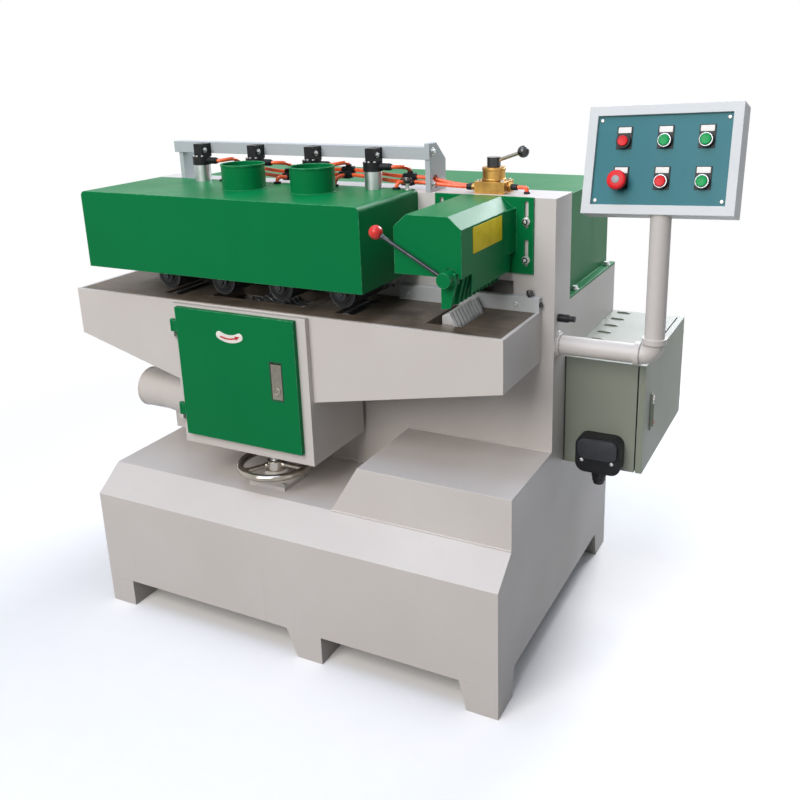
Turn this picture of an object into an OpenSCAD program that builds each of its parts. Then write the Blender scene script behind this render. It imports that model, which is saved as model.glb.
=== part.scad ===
/* [Base] */
// Length of the base past the main cover, along the feed
infeed_len = 324; // [320:1:380]
// Depth of the base, front to back
base_depth = 804; // [780:1:900]
// Depth of the base deck below the table
deck_drop = 450; // [446:1:470]
// Height of the slanted nose
nose_drop = 56; // [25:1:85]
// Depth of the slanted nose
nose_depth = 75; // [50:1:90]
// Thickness of the welded plates
plate_t = 8; // [5:0.5:10]
// Height of the feet
foot_h = 72; // [50:1:100]
// Width of a corner foot at the floor
foot_w = 74; // [60:1:90]
// Depth of a foot at the floor
foot_d = 78; // [60:1:100]
// How much a foot widens to its top
foot_taper = 18; // [5:1:30]
// Place of the middle feet, from the left end
mid_foot_x = 582; // [450:1:620]
// Width of a middle foot at the floor
mid_foot_w = 68; // [50:1:90]
// Place of the raised deck, from the left end
riser_x = 651; // [630:1:700]
// Height of the raised deck above the base deck
riser_h = 119; // [60:1:125]
// How far the left side of the raised deck leans
riser_lean = 74; // [20:1:90]

/* [Column] */
// Front face of the column, from the base's front
column_front = 324; // [322:1:332]
// Depth of the column
column_d = 106; // [90:1:110]
// Height of the column above the table
column_rise = 246; // [240:1:265]
// How far the column stands out over the left end
column_overhang = 22; // [0:1:60]
// Width of the window behind the infeed
window_w = 91; // [60:1:110]
// Height of the window behind the infeed
window_h = 34; // [20:1:40]

/* [Rear housing] */
// Depth of the rear housing
housing_d = 382; // [375:1:390]
// How far the rear housing ends below the column's top
housing_drop = 243; // [236:1:250]
// Wall of the rear housing
housing_t = 5; // [3:0.5:8]
// Height of the rear hood above the housing
rear_hood_h = 229; // [210:1:235]
// Width of the rear hood's bolted flange
flange_w = 20; // [20:1:36]
// Thickness of that flange
flange_t = 6; // [3:0.5:8]
// Thickness of sheet metal covers
sheet_t = 3; // [1.5:0.5:4]

/* [Table] */
// How far the table stands out over the left end
table_overhang = 85; // [60:1:120]
// How far the table ends short of the right end
table_inset = 29; // [15:1:45]
// Front of the table, from the base's front
table_front = 100; // [96:1:102]
// Height of the table
table_h = 815; // [780:1:850]
// Thickness of the table plate
table_t = 25; // [22:1:28]
// Thickness of the table frame's plates
apron_t = 8; // [5:0.5:10]
// Depth of the table frame at its ends
apron_end = 115; // [90:1:140]
// Depth of the table frame beside the saw box
apron_mid = 202; // [160:1:240]
// How far the table goes down from rest
lift_down = 30; // [20:1:30]
// How far the table goes up from rest
lift_up = 10; // [2:1:10]

/* [Saw box] */
// Left side of the saw box
box_x = 232; // [228:1:236]
// Width of the saw box
box_w = 374; // [368:1:384]
// Front of the saw box's frame
box_front = 86; // [84:0.5:88]
// Depth of the saw box's underside below the table
box_drop = 354; // [345:1:358]
// Wall of the saw box
box_t = 5; // [3:0.5:6]
// Width of the saw box door
door_w = 332; // [325:1:338]
// Height of the saw box door
door_h = 318; // [310:1:322]
// Depth of the door pan
door_d = 12; // [12:0.1:20]
// Lower edge of the door above the box's underside
door_lift = 28; // [24:1:30]
// Radius of the door's hinge pins
door_pin_r = 3; // [2:0.5:4]

/* [Saw arbor] */
// Place of the arbor along the feed
arbor_x = 419; // [415:1:423]
// Depth of the arbor below the table
arbor_drop = 160; // [157:1:163]
// Radius of a saw blade
blade_r = 155; // [140:1:156]
// Number of blades
blade_count = 6; // [2:1:6]
// Thickness of a blade
blade_t = 3.2; // [2:0.1:5]
// Distance between blades
blade_pitch = 18; // [12:1:18]
// Teeth on a blade
tooth_count = 24; // [12:1:36]
// Radius of the arbor in its bearings
arbor_r = 25; // [20:1:30]
// Radius of the bearing housing
bearing_r = 60; // [50:1:65]

/* [Table lift] */
// Radius of the handwheel, to the middle of its rim
wheel_r = 86; // [78:1:100]
// Radius of the handwheel's rim
rim_r = 9; // [6:0.5:10]
// Radius of the lift screw
screw_r = 14; // [10:0.5:16]
// Place of the lift screw along the feed
screw_x = 448; // [440:1:460]
// Place of the lift screw, from the base's front
screw_y = 150; // [140:1:160]

/* [Main cover] */
// Left end of the main cover
cover_x = 11; // [0:1:20]
// Length of the main cover
cover_len = 757; // [720:1:820]
// Front of the main cover
cover_front = 64; // [50:1:80]
// Height of the main cover's lower edge above the table
cover_stand = 73; // [63:1:80]
// Height of the main cover
cover_h = 180; // [174:1:184]
// Radius of the bends at the ends of the cover
bend_r = 12; // [6:1:20]

/* [Dust ports] */
// Outer radius of the dust ports and of the saw dust outlet
port_r = 50; // [45:1:55]
// Wall of the ports
port_t = 2; // [1.5:0.5:4]
// Height of the ports on the cover
port_h = 56; // [40:1:80]
// Distance between the ports on the cover
port_pitch = 190; // [170:1:195]
// Distance from the second air cylinder to the first port, along the feed
port_lead = 24; // [14:1:29]
// Place of the ports, from the base's front
port_y = 219; // [210:1:222]
// Height of the saw dust outlet's axis above the saw box's underside
outlet_rise = 74; // [69:1:84]
// Length of the saw dust outlet
outlet_len = 208; // [150:1:260]

/* [Press rollers] */
// Distance from the main cover's left end to the first press roller
press_lead = 173; // [169:1:177]
// Length of the main cover that the press rollers' spacing leaves over
press_margin = 109; // [105:1:117]
// Radius of a press roller
roller_r = 32; // [28:0.5:32]
// Height of the press rollers' axes above the table
roller_stand = 47; // [47:0.5:51]
// Travel of the press rollers
press_travel = 35; // [20:1:40]
// Radius of an air cylinder
cylinder_r = 20; // [17:0.5:21]
// Radius of a piston rod
piston_rod_r = 6; // [4:0.5:8]

/* [Infeed hood] */
// Distance from the main cover to the infeed hood
hood_gap = 85; // [82:1:90]
// Width of the infeed hood
hood_w = 145; // [142:1:150]
// Front of the infeed hood
hood_front = 51; // [50:0.5:54]
// Height of the infeed hood's lower edge above the table
hood_stand = 129; // [125:1:135]
// Height of the infeed hood
hood_h = 118; // [110:1:120]
// Width of its bevels
hood_bevel_w = 28; // [15:1:40]
// Height of its bevels
hood_bevel_h = 24; // [15:1:40]
// Length of the slots in its plate
slot_len = 58; // [50:1:62]
// Radius of its bolts
bolt_r = 4; // [3:0.5:4]
// Length of the lever, from its pivot to its ball
lever_len = 169; // [150:1:175]
// Radius of the lever's ball
lever_ball_r = 14; // [12:0.5:18]

/* [Cabinet] */
// Width of the cabinet's body
cabinet_w = 168; // [150:1:180]
// Depth of the cabinet
cabinet_d = 413; // [380:1:420]
// Height of the cabinet
cabinet_h = 260; // [240:1:265]
// Front of the cabinet
cabinet_front = 406; // [400:1:415]
// Height of the cabinet's underside above the base deck
cabinet_stand = 65; // [50:1:75]
// Thickness of the cabinet's door
cabinet_door_t = 15; // [10:1:18]

/* [Control panel] */
// Width of the panel box
panel_w = 312; // [300:1:330]
// Height of the panel box
panel_h = 221; // [214:1:250]
// Depth of the panel box
panel_d = 50; // [48:1:56]
// Width of the frame round the plate
panel_border = 19; // [10:1:24]
// Tilt of the panel
panel_tilt = 17.8; // [10:0.1:25]
// Turn of the panel
panel_yaw = -5.4; // [-10:0.1:-2]
// Lean of the panel to the left
panel_roll = -2.8; // [-4:0.1:-1]
// Distance from the base's right end to the middle of the panel's front
panel_out = 199.2; // [196:0.1:206]
// Middle of the panel's front, from the base's front
panel_y = 365; // [362:1:368]
// Height of the middle of the panel's front above the column
panel_rise = 82; // [69:1:99]
// Radius of the panel's pipe
pipe_r = 21.2; // [17:0.1:23]
// Distance from the base's right end to the upright pipe
pole_out = 211; // [206:1:216]
// Place of the pipe, from the base's front
pole_y = 355; // [350:1:358]
// Depth of the level pipe below the column's top
pipe_drop = 327; // [316:1:333]
// Radius of a push button
button_r = 10.7; // [9:0.1:10.7]
// Travel of a push button
button_travel = 4; // [2:0.5:4]
// Radius of the emergency stop's head
stop_r = 20; // [16:0.5:20]

/* [Hidden] */
$fn = 48;

// Number of press rollers
press_count = 4;
// Running gap between pieces that move past each other
gap = 0.3;
// Radial clearance of a shaft in its bore
fit = 0.05;
// Overrun of a cut past the face it opens
over = 2;

// Lengths and heights, worked out from the main cover and the table
base_len = cover_x + cover_len + infeed_len;
base_top = table_h - deck_drop;
nose_h = base_top - nose_drop;
column_top = table_h + column_rise;
housing_top = column_top - housing_drop;
box_bottom = table_h - box_drop;
arbor_z = table_h - arbor_drop;
cover_bottom = table_h + cover_stand;
outlet_z = box_bottom + outlet_rise;
roller_z = table_h + roller_stand;
press_x = cover_x + press_lead;
press_pitch = (cover_len - press_margin) / press_count;
hood_x = cover_x + cover_len + hood_gap;
hood_bottom = table_h + hood_stand;
cabinet_bottom = base_top + cabinet_stand;
panel_x = base_len + panel_out;
panel_z = column_top + panel_rise;
pole_x = base_len + pole_out;
pipe_z = column_top - pipe_drop;

// Taper of a middle foot as a share of a corner foot's
mid_foot_share = 1.5;

// Column and housing, worked out
column_x = -column_overhang;
column_back = column_front + column_d;
housing_back = column_back + housing_d;
rear_hood_top = housing_top + rear_hood_h;
riser_top = base_top + riser_h;

// Width of the rear hood's flange along the back
rear_flange_w = 12;
// Places of the flange bolts as shares of the housing's depth
flange_shares = [0.18, 0.88];

// Table, worked out
table_x0 = -table_overhang;
table_x1 = base_len - table_inset;
table_back = column_front - gap;
table_under = table_h - table_t;
box_x1 = box_x + box_w;
// Depth of the ledges that carry the table plate
ledge_d = 16;
// Height of those ledges
ledge_h = 10;
// Underside of the strip of the table frame that runs over the saw box
strip_z = table_under - ledge_h;

// Ways that guide the table on the column
way_w = 40;
way_t = 12;
// Place of the ways in from the saw box's sides
way_in = 38;
// Height of the shoes that run on the ways
shoe_h = 60;
// Wall of the shoes
shoe_t = 8;
way_top = table_under - lift_down - over;
shoe_top = table_under - lift_down - lift_up;
way_xs = [box_x + way_in, box_x1 - way_in];

// Saw box door
// Share of the frame's spare width on the hinge side
door_share = 0.43;
door_x = box_x + (box_w - door_w) * door_share;
door_z = box_bottom + door_lift;
door_front = box_front - gap - door_d;
// How far the frame's opening lies inside the door
door_lap = 12;
// Radius of the door's hinge knuckles, and where their axis lies
knuckle_r = 6;
knuckle_len = 27;
hinge_out = 14;
hinge_stand = 8;
hinge_x = door_x - hinge_out;
hinge_y = box_front - hinge_stand;
// Heights of the two knuckles as shares of the door's height
knuckle_shares = [0.15, 0.81];
// Flush lock: size of its paddle and place on the door
lock_w = 28;
lock_h = 84;
lock_t = 3;
lock_pin_r = 2;
lock_shares = [0.835, 0.535];
lock_x = door_x + door_w * lock_shares[0];
lock_z = door_z + door_h * lock_shares[1];
lock_tray_t = 3;
lock_tray_d = 12;
// Room above the paddle for its turning edge
lock_relief = 3;

// Saw arbor and its drive
spacer_r = 48;
sleeve_r = 35;
sleeve_gap = 0.2;
first_blade_y = 180;
clamp_w = 12;
clamp_r = 60;
arbor_nut_r = 42;
arbor_nut_w = 16;
thread_r = 18;
thread_len = 20;
last_blade_y = first_blade_y + (blade_count - 1) * blade_pitch + blade_t;
bearing_flange_r = 78;
bearing_flange_t = 12;
tooth_h = 9;
// Pulleys: belts lie in square grooves
belt_count = 3;
belt_w = 12;
belt_t = 8;
groove_w = 13;
rib_w = 4;
rib_h = 10;
belt_slack = 0.8;
pulley_stand = 22;
pulley_y = column_back + pulley_stand;
pulley_w = belt_count * (groove_w + rib_w) + rib_w;
arbor_pulley_r = 58;
motor_pulley_r = 78;
// Place of the main motor beside the arbor, and above the deck
motor_off = 341;
motor_rise = 140;
motor_x = arbor_x + motor_off;
motor_z = base_top + motor_rise;
motor_r = 100;
motor_len = 250;
motor_shaft_r = 19;
motor_stand = 20;
motor_front = pulley_y + pulley_w + motor_stand;
motor_foot_w = 200;
motor_foot_t = 12;

// Table lift: pad, boss and wheel stand on the base deck
pad_w = 104;
pad_d = 84;
pad_h = 10;
pad_boss_r = 30;
pad_boss_h = 23;
wheel_hub_r = 22;
wheel_hub_h = 24;
spoke_r = 6;
spoke_count = 3;
screw_below = 70;
screw_flange_r = 26;
screw_flange_t = 5;
hub_z = base_top + pad_h + pad_boss_h + gap;

// Main cover, dust ports and outlet
cover_x1 = cover_x + cover_len;
cover_top = cover_bottom + cover_h;
outlet_y = 200;
flare_len = 130;
flare_r = 18;

// Press rollers, their slides and gibs, and the air cylinders
press_y = 298;
press_xs = [for (i = [0 : press_count - 1]) press_x + i * press_pitch];
port_x = press_xs[1] + port_lead;
shaft_r = 10;
slide_w = 60;
slide_neck = 44;
slide_ear_t = 12;
slide_front = 278;
slide_drop = 24;
slide_rise = 43;
slide_bottom = roller_z - slide_drop;
slide_top = roller_z + slide_rise;
gib_t = 12;
gib_lip_t = 8;
gib_margin = 12;
gib_z0 = slide_bottom + gib_margin;
gib_z1 = slide_top + press_travel + gib_margin;
roller_front = 142;
roller_collar = 6;
roller_hub_r = 15;
roller_hub_t = 6;
shaft_tail = 16;
slot_play = 2;
cylinder_stand = 30;
cylinder_rise = 40;
cylinder_z0 = slide_top + press_travel + cylinder_stand;
cylinder_top = cover_top + cylinder_rise;
cylinder_t = 4;
cylinder_foot = 10;
piston_h = 18;
cap_r = 22;
cap_h = 20;
clevis_w = 24;
clevis_h = 30;
flow_z = cylinder_top + cap_h / 2;

// Cross beam on its brackets
beam_lead = 2;
beam_d = 28;
beam_stand = 72;
beam_front = column_front - beam_lead;
beam_z = column_top + beam_stand;
beam_h = 27;
beam_in = 68;
beam_past = 20;
beam_x0 = cover_x + beam_in;
beam_x1 = cover_x1 + beam_past;
bracket_t = 12;
bracket_d = 80;
bracket_top_d = 36;
bracket_drop = 40;
bracket_rise = 8;
bracket_in = 12;

// Infeed hood, its plate and bolts, and the fingers under it
hood_x1 = hood_x + hood_w;
hood_top = hood_bottom + hood_h;
hood_plate_t = 5;
hood_plate_left = 40;
hood_plate_right = 46;
hood_plate_drop = 48;
hood_plate_x0 = hood_x - hood_plate_left;
hood_plate_x1 = hood_x1 + hood_plate_right;
hood_plate_z0 = hood_bottom - hood_plate_drop;
hood_plate_back = column_front - gap;
hood_plate_front = hood_plate_back - hood_plate_t;
bolt_in = 16;
bolt_spacing = 83;
// Where a bolt sits in its slot, from the slot's lower end
bolt_seat = 15;
bolt_drop = 16;
bolt_zs = [hood_bottom - bolt_drop, hood_bottom - bolt_drop + bolt_spacing];
washer_r = 9;
washer_t = 2.5;
bolt_head_r = 7.5;
bolt_head_t = 6;
slot_gap = 0.5;
slot_r = bolt_r + slot_gap;
flap_h = 38;
flap_y0 = 100;
flap_y1 = 300;
flare_w = 7;
flare_d = 50;
pivot_in = 24;
pivot_rise = 2;
pivot_x = hood_x1 - pivot_in;
pivot_z = hood_bottom + pivot_rise;
// Middle of the column's window: left of the fingers' pivot, and above the table
window_left = 22;
window_rise = 45;
finger_shaft_r = 8;
lug_w = 28;
lug_t = 10;
lug_drop = 14;
lug_rise = 16;
boss_r = 15;
boss_y0 = 18;
lever_y = 29;
lever_r = 3.8;
lever_angle = 29;
lever_seat = 8;
finger_len = 62;
finger_w = 32;
finger_t = 8;
finger_gap_y = 20;
finger_y0 = 72;
finger_count = 11;
front_finger_y = 38;
// Outline of an upper finger, as shares of its width and of its length
finger_shares = [[-0.44, 0.16], [0.5, 0.16], [0.56, -0.12], [0.16, -0.95], [-0.44, -1]];

// Length of the blades' opening as a share of their radius
slot_share = 1.7;

// Lower fingers in their opening of the table
comb_in = 15;
comb_w = 84;
comb_pivot_in = 22;
comb_x0 = hood_x + comb_in;
comb_x1 = comb_x0 + comb_w;
comb_y0 = 150;
comb_y1 = 302;
comb_pivot_x = comb_x1 - comb_pivot_in;
comb_pivot_r = 6;
comb_finger_w = 35;
comb_finger_len = 43;
comb_count = 19;
comb_t = 4;
comb_margin = 4;
// Outline of a lower finger, as shares of its width and of its length
comb_shares = [[-0.7, -0.24], [-0.72, 0.84], [-0.26, 1], [0.28, 0.14], [0.28, -0.24]];
comb_sink = 17;
comb_pivot_z = table_h - comb_sink;

// Lower idle rollers in the table
idle_r = 22;
idle_proud = 1;
idle_shaft_r = 8;
idle_y0 = 150;
idle_y1 = 280;
idle_lug_t = 12;
idle_lug_w = 40;
idle_lug_h = 18;
idle_play = 3;
// Distance from a roller's end to its lug
idle_side = 10;
idle_end_y0 = idle_y0 - idle_side - idle_lug_t;
idle_end_y1 = idle_y1 + idle_side + idle_lug_t;
idle_z = table_h + idle_proud - idle_r;
// Distances of the two rollers outside the saw box
idle_out = [48, 64];
idle_xs = [box_x - idle_out[0], box_x1 + idle_out[1]];

// Guide fence
fence_lap = 46;
fence_x0 = cover_x1 - fence_lap;
fence_h = 33;
fence_y0 = 306;
fence_y1 = 321;

// Hand valve on the column
valve_off = 79;
valve_x = hood_x + valve_off;
valve_y = 372;
valve_w = 70;
valve_d = 56;
valve_h = 26;
valve_ring_r = 25;
valve_ring_h = 30;
knob_r = 15;
knob_h = 21;
valve_rod_r = 4;
valve_rod_len = 72;
valve_rod_angle = 19;
valve_ball_r = 13;
valve_seat = 6;

// Air hoses: radius, sides of the tube, and how far each one reaches out of its ends
hose_r = 4.5;
hose_sides = 8;
hose_side = [0.2, 1, 0.3];
hose_reach = 60;
line_reach = 50;
branch_reach = 30;
branch_rise = 16;
feed_reach = 26;
feed_rise = 16;
// Fittings: caps and flow controls of the cylinders, tees behind them, nipples on the valve
tee_w = 16;
tee_len = 26;
tee_y = 352;
tee_stand = 30;
// How much higher every second tee hangs
tee_step = 10;
// Where the second line runs beside the first, and how far apart both leave the valve
twin_drop = [0, -13, -10];
twin_side = 16;
// Radius and place of the hoses' hole in the right bracket
grommet_r = 15;
grommet_rise = 22;
grommet_lead = 2.5;
// Where a hose of the second line goes down into the cover, and the ring round it
drop_left = 12;
drop_y = 306;
drop_reach = 16;
drop_rise = 22;
drop_ring_r = 9;
drop_ring_h = 4;
drop_play = 1;
tee_off = 66;
flow_r = 8;
flow_len = 22;
port_stand = 13;
nipple_r = 7;
nipple_len = 16;

// Cabinet, its door hinge and lock, and the connector
cabinet_t = 2.5;
cabinet_gap = 3;
cabinet_x1 = base_len + cabinet_w;
cabinet_back = cabinet_front + cabinet_d;
cabinet_door_x = cabinet_x1 + cabinet_gap;
barrel_r = 5;
barrel_pin_r = 2.5;
barrel_len = 24;
barrel_in = 6;
barrel_x = cabinet_door_x + barrel_in;
barrel_y = cabinet_back + barrel_r;
// Heights of the hinges as shares of the cabinet's height
barrel_shares = [0.12, 0.78];
cabinet_lock_w = 20;
cabinet_lock_h = 90;
cabinet_lock_t = 8;
cabinet_lock_in = 66;
cabinet_lock_y = cabinet_front + cabinet_lock_in;
cabinet_lock_z = cabinet_bottom + cabinet_h / 2;
cabinet_spindle_r = 6;
cabinet_spindle_len = 12;
connector_out = 40;
connector_x = base_len + connector_out;
connector_w = 105;
connector_h = 88;
connector_d = 34;
connector_drop = 2;
connector_z = cabinet_bottom - connector_drop;
// Radii of the rounded corners of the connector and of its lid
connector_r = 22;
lid_r = 14;
connector_lid_h = 47;
connector_lid_t = 8;
connector_lid_in = 16;
gland_r = 15;
gland_h = 22;

// Pipe and panel
pipe_t = 3;
elbow_r = 28;
collar_r = 26;
collar_w = 12;
pipe_flange_r = 27;
pipe_flange_t = 5;
panel_recess = 6;
panel_plate_t = 2;
panel_lip = 8;
panel_wall = 2;
plate_gap = 0.3;
button_xs = [-78, 7, 89];
button_zs = [-44, 38];
holder_w = 32;
holder_h = 46;
holder_drop = 15;
holder_t = 2;
bezel_r = 14.75;
bezel_h = 8;
button_proud = 4;
button_tail = 14;
stop_neck = 10;
stop_h = 12;

// Air inlet on the column's right side
inlet_y = 352;
inlet_drop = 265;
inlet_z = column_top - inlet_drop;
inlet_r = 9;
inlet_len = 24;
inlet_tip_r = 6.5;
inlet_tip_len = 14;

// Feed gear motor on the back of the column
gear_in = 532;
gear_x = base_len - gear_in;
gear_w = 160;
gear_d = 130;
gear_drop = 211;
gear_z = column_top - gear_drop;
gear_h = 140;
feed_motor_r = 65;
feed_motor_len = 230;

// Origin: middle of the whole outline, on the floor
function panel_reach(x, y, z) =
    let (across = x * cos(panel_roll) + z * sin(panel_roll), up = z * cos(panel_roll) - x * sin(panel_roll))
    across * cos(panel_yaw) - (y * cos(panel_tilt) + up * sin(panel_tilt)) * sin(panel_yaw);
panel_right = panel_x + max([for (y = [0, panel_d], z = [-panel_h / 2, panel_h / 2])
    panel_reach(panel_w / 2, y, z)]);
origin_x = (table_x0 + panel_right) / 2;
origin_y = (barrel_y + barrel_r) / 2;

// Steps of a quarter bend in an outline
bend_steps = 6;

module placed() translate([-origin_x, -origin_y, 0]) children();
module slab(x, y, z) translate([x[0], y[0], z[0]]) cube([x[1] - x[0], y[1] - y[0], z[1] - z[0]]);
module rod_x(r, x, y, z) translate([x[0], y, z]) rotate([0, 90, 0]) cylinder(r = r, h = x[1] - x[0]);
module rod_y(r, x, y, z) translate([x, y[0], z]) rotate([-90, 0, 0]) cylinder(r = r, h = y[1] - y[0]);
module rod_z(r, x, y, z) translate([x, y, z[0]]) cylinder(r = r, h = z[1] - z[0]);
module plate_xz(points, y)
    translate([0, y[1], 0]) rotate([90, 0, 0]) linear_extrude(y[1] - y[0]) polygon(points);
module plate_yz(points, x)
    translate([x[0], 0, 0]) rotate([90, 0, 90]) linear_extrude(x[1] - x[0]) polygon(points);
function about(middle, width) = [middle - width / 2, middle + width / 2];
function ordered(a, b) = [min(a, b), max(a, b)];
function arc(c, r, from, to) =
    [for (i = [0 : bend_steps]) let (a = from + (to - from) * i / bend_steps) c + r * [cos(a), sin(a)]];
function rounded(x, z, r) = concat(
    arc([x[0] + r, z[0] + r], r, 180, 270), arc([x[1] - r, z[0] + r], r, 270, 360),
    arc([x[1] - r, z[1] - r], r, 0, 90), arc([x[0] + r, z[1] - r], r, 90, 180));

// Base: a hollow welded nose, a raised deck on it and six feet under it
nose_angle = atan2(base_top - nose_h, nose_depth);
function nose_profile(t, low) = [
    [t, low], [t, nose_h - t * tan((90 - nose_angle) / 2)],
    [nose_depth + t * tan(nose_angle / 2), base_top - t],
    [base_depth - t, base_top - t], [base_depth - t, low]
];
// Outline of the raised deck, inset by t on its slanted side, its right and its top
riser_angle = atan2(riser_h, riser_lean);
function riser_profile(t) = let (side = t / sin(riser_angle), low = base_top - (t > 0 ? over : 0)) [
    [riser_x + side + (low - base_top) / tan(riser_angle), low],
    [riser_x + side + (riser_h - t) / tan(riser_angle), riser_top - t],
    [base_len - t, riser_top - t], [base_len - t, low]
];
function foot_outline(x0, x1, left, right) =
    [[x0, 0], [x1, 0], [x1 + right * foot_taper, foot_h], [x0 - left * foot_taper, foot_h]];
module feet() color("#c8c3be") placed() intersection() {
    union() {
        plate_xz(foot_outline(0, foot_w, 0, 0), [0, base_depth]);
        plate_xz(foot_outline(mid_foot_x, mid_foot_x + mid_foot_w, mid_foot_share, 0), [0, base_depth]);
        plate_xz(foot_outline(base_len - foot_w, base_len, 1, 0), [0, base_depth]);
    }
    union() {
        plate_yz(foot_outline(0, foot_d, 0, 1), [0, base_len]);
        plate_yz(foot_outline(base_depth - foot_d, base_depth, 1, 0), [0, base_len]);
    }
}
module base() color("#c8c3be") placed() difference() {
    plate_yz(nose_profile(0, foot_h), [0, base_len]);
    plate_yz(nose_profile(plate_t, foot_h - over), [plate_t, base_len - plate_t]);
    rod_z(screw_r + over, screw_x, screw_y, [base_top - plate_t - over, base_top + over]);
}
module raised_deck() color("#c8c3be") placed() difference() {
    plate_xz(riser_profile(0), [nose_depth, column_front]);
    plate_xz(riser_profile(plate_t), [nose_depth + plate_t, column_front - plate_t]);
}

// Column: hollow wall with the gibs of the press slides and the ways of the table
module gib(x, side) {
    z = [gib_z0, gib_z1];
    out = x + side * (slide_w / 2 + gap + gib_t);
    lip_y = column_front - slide_ear_t - 2 * gap;
    slab(ordered(x + side * (slide_w / 2 + gap), out), [lip_y - gib_lip_t, column_front + over], z);
    slab(ordered(x + side * (slide_neck / 2 + gap), out), [lip_y - gib_lip_t, lip_y], z);
}
module column() color("#cdc8c3") placed() {
    difference() {
        slab([column_x, base_len], [column_front, column_back], [base_top, column_top]);
        slab([column_x + plate_t, base_len - plate_t],
             [column_front + plate_t, column_back - plate_t], [base_top - over, column_top - plate_t]);
        slab(about(pivot_x - window_left, window_w),
             [column_front - over, column_front + plate_t + over], about(table_h + window_rise, window_h));
        rod_y(bearing_r + gap, arbor_x, [column_front - over, column_back + over], arbor_z);
        for (x = press_xs)
            slab(about(x, 2 * (shaft_r + slot_play)), [column_front - over, column_front + plate_t + over],
                 [roller_z - shaft_r - slot_play, roller_z + press_travel + shaft_r + slot_play]);
    }
    for (x = press_xs, side = [-1, 1]) gib(x, side);
    for (x = way_xs)
        slab(about(x, way_w), [column_front - way_t, column_front + over],
             [shoe_top - shoe_h - lift_down, way_top]);
}

// Rear housing: four walls round the motor, open at the top under the hood
module rear_housing() color("#cdc8c3") placed() difference() {
    slab([column_x, base_len], [column_back, housing_back], [base_top, housing_top]);
    slab([column_x + housing_t, base_len - housing_t],
         [column_back - over, housing_back - housing_t], [base_top - over, housing_top + over]);
}
module rear_hood() color("#0f7a3d") placed() {
    hood_span = [column_x + flange_w, base_len - flange_w];
    hood_rear = housing_back - rear_flange_w;
    difference() {
        slab(hood_span, [column_back, hood_rear], [housing_top, rear_hood_top]);
        slab([hood_span[0] + sheet_t, hood_span[1] - sheet_t],
             [column_back - over, hood_rear - sheet_t], [housing_top - over, rear_hood_top - sheet_t]);
    }
    for (x = [[column_x, hood_span[0] + over], [hood_span[1] - over, base_len]])
        slab(x, [column_back, housing_back], [housing_top, housing_top + flange_t]);
    slab(hood_span, [hood_rear - over, housing_back], [housing_top, housing_top + flange_t]);
}
module hex_bolt() {
    cylinder(r = washer_r, h = washer_t);
    cylinder(r = bolt_head_r, h = washer_t + bolt_head_t, $fn = 6);
}
module cover_bolts() color("silver") placed() {
    for (x = [hood_plate_x0 + bolt_in, hood_plate_x1 - bolt_in], z = bolt_zs)
        translate([x, hood_plate_front - gap, z]) rotate([90, 0, 0]) {
            hex_bolt();
            rotate([180, 0, 0]) translate([0, 0, -over])
                cylinder(r = bolt_r, h = hood_plate_t + 2 * gap + over);
        }
    for (x = [column_x, base_len - flange_w], share = flange_shares)
        translate([x + flange_w / 2, column_back + housing_d * share, housing_top + flange_t]) hex_bolt();
}

// Main cover: bent sheet, open below and against the column, with two dust ports
function cover_outline(t, low) = concat(
    [[cover_x + t, low]],
    arc([cover_x + bend_r, cover_top - bend_r], bend_r - t, 180, 90),
    arc([cover_x1 - bend_r, cover_top - bend_r], bend_r - t, 90, 0),
    [[cover_x1 - t, low]]
);
module top_cover() color("#0b7a3b") placed() difference() {
    union() {
        plate_xz(cover_outline(0, cover_bottom), [cover_front, column_front]);
        for (i = [0, 1])
            rod_z(port_r, port_x + i * port_pitch, port_y, [cover_top - over, cover_top + port_h]);
    }
    plate_xz(cover_outline(sheet_t, cover_bottom - over), [cover_front + sheet_t, column_front + over]);
    for (i = [0, 1])
        rod_z(port_r - port_t, port_x + i * port_pitch, port_y,
              [cover_top - sheet_t - over, cover_top + port_h + over]);
    for (x = press_xs)
        rod_z(cylinder_r + gap, x, press_y, [cover_top - sheet_t - over, cover_top + over]);
}

// Air cylinders that push the press rollers down
module air_cylinders() color("silver") placed() for (x = press_xs) difference() {
    rod_z(cylinder_r, x, press_y, [cylinder_z0, cylinder_top]);
    rod_z(cylinder_r - cylinder_t, x, press_y, [cylinder_z0 + cylinder_foot, cylinder_top + over]);
    rod_z(piston_rod_r + gap, x, press_y, [cylinder_z0 - over, cylinder_z0 + cylinder_foot + over]);
}
module cylinder_cap(x) {
    top = cylinder_top + cap_h;
    rod_z(cap_r, x, press_y, [cylinder_top, top]);
    slab(about(x, clevis_w), [press_y - clevis_w / 2, beam_front], [top - over, top + clevis_h]);
    rod_x(flow_r, [x, x + cap_r + flow_len], press_y, flow_z);
}

// Cross beam that holds the cylinders, on two brackets on the column
module cross_beam() color("#c6c5cb") placed() {
    top = beam_z + beam_h + bracket_rise;
    back = column_front + bracket_d;
    slab([beam_x0, beam_x1 + over], [beam_front, beam_front + beam_d], [beam_z, beam_z + beam_h]);
    difference() {
        plate_yz([[column_front, column_top], [column_front, beam_z], [beam_front, beam_z],
                  [beam_front, top], [beam_front + bracket_top_d, top], [back, top - bracket_drop],
                  [back, column_top]],
                 [beam_x1, beam_x1 + bracket_t]);
        rod_x(grommet_r, [beam_x1 - over, beam_x1 + bracket_t + over], tee_y - grommet_lead,
              column_top + grommet_rise);
    }
    plate_yz([[column_front, column_top], [column_front, beam_z + over], [back, beam_z + over],
              [back, column_top]],
             [beam_x0 + bracket_in, beam_x0 + bracket_in + bracket_t]);
}

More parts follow.
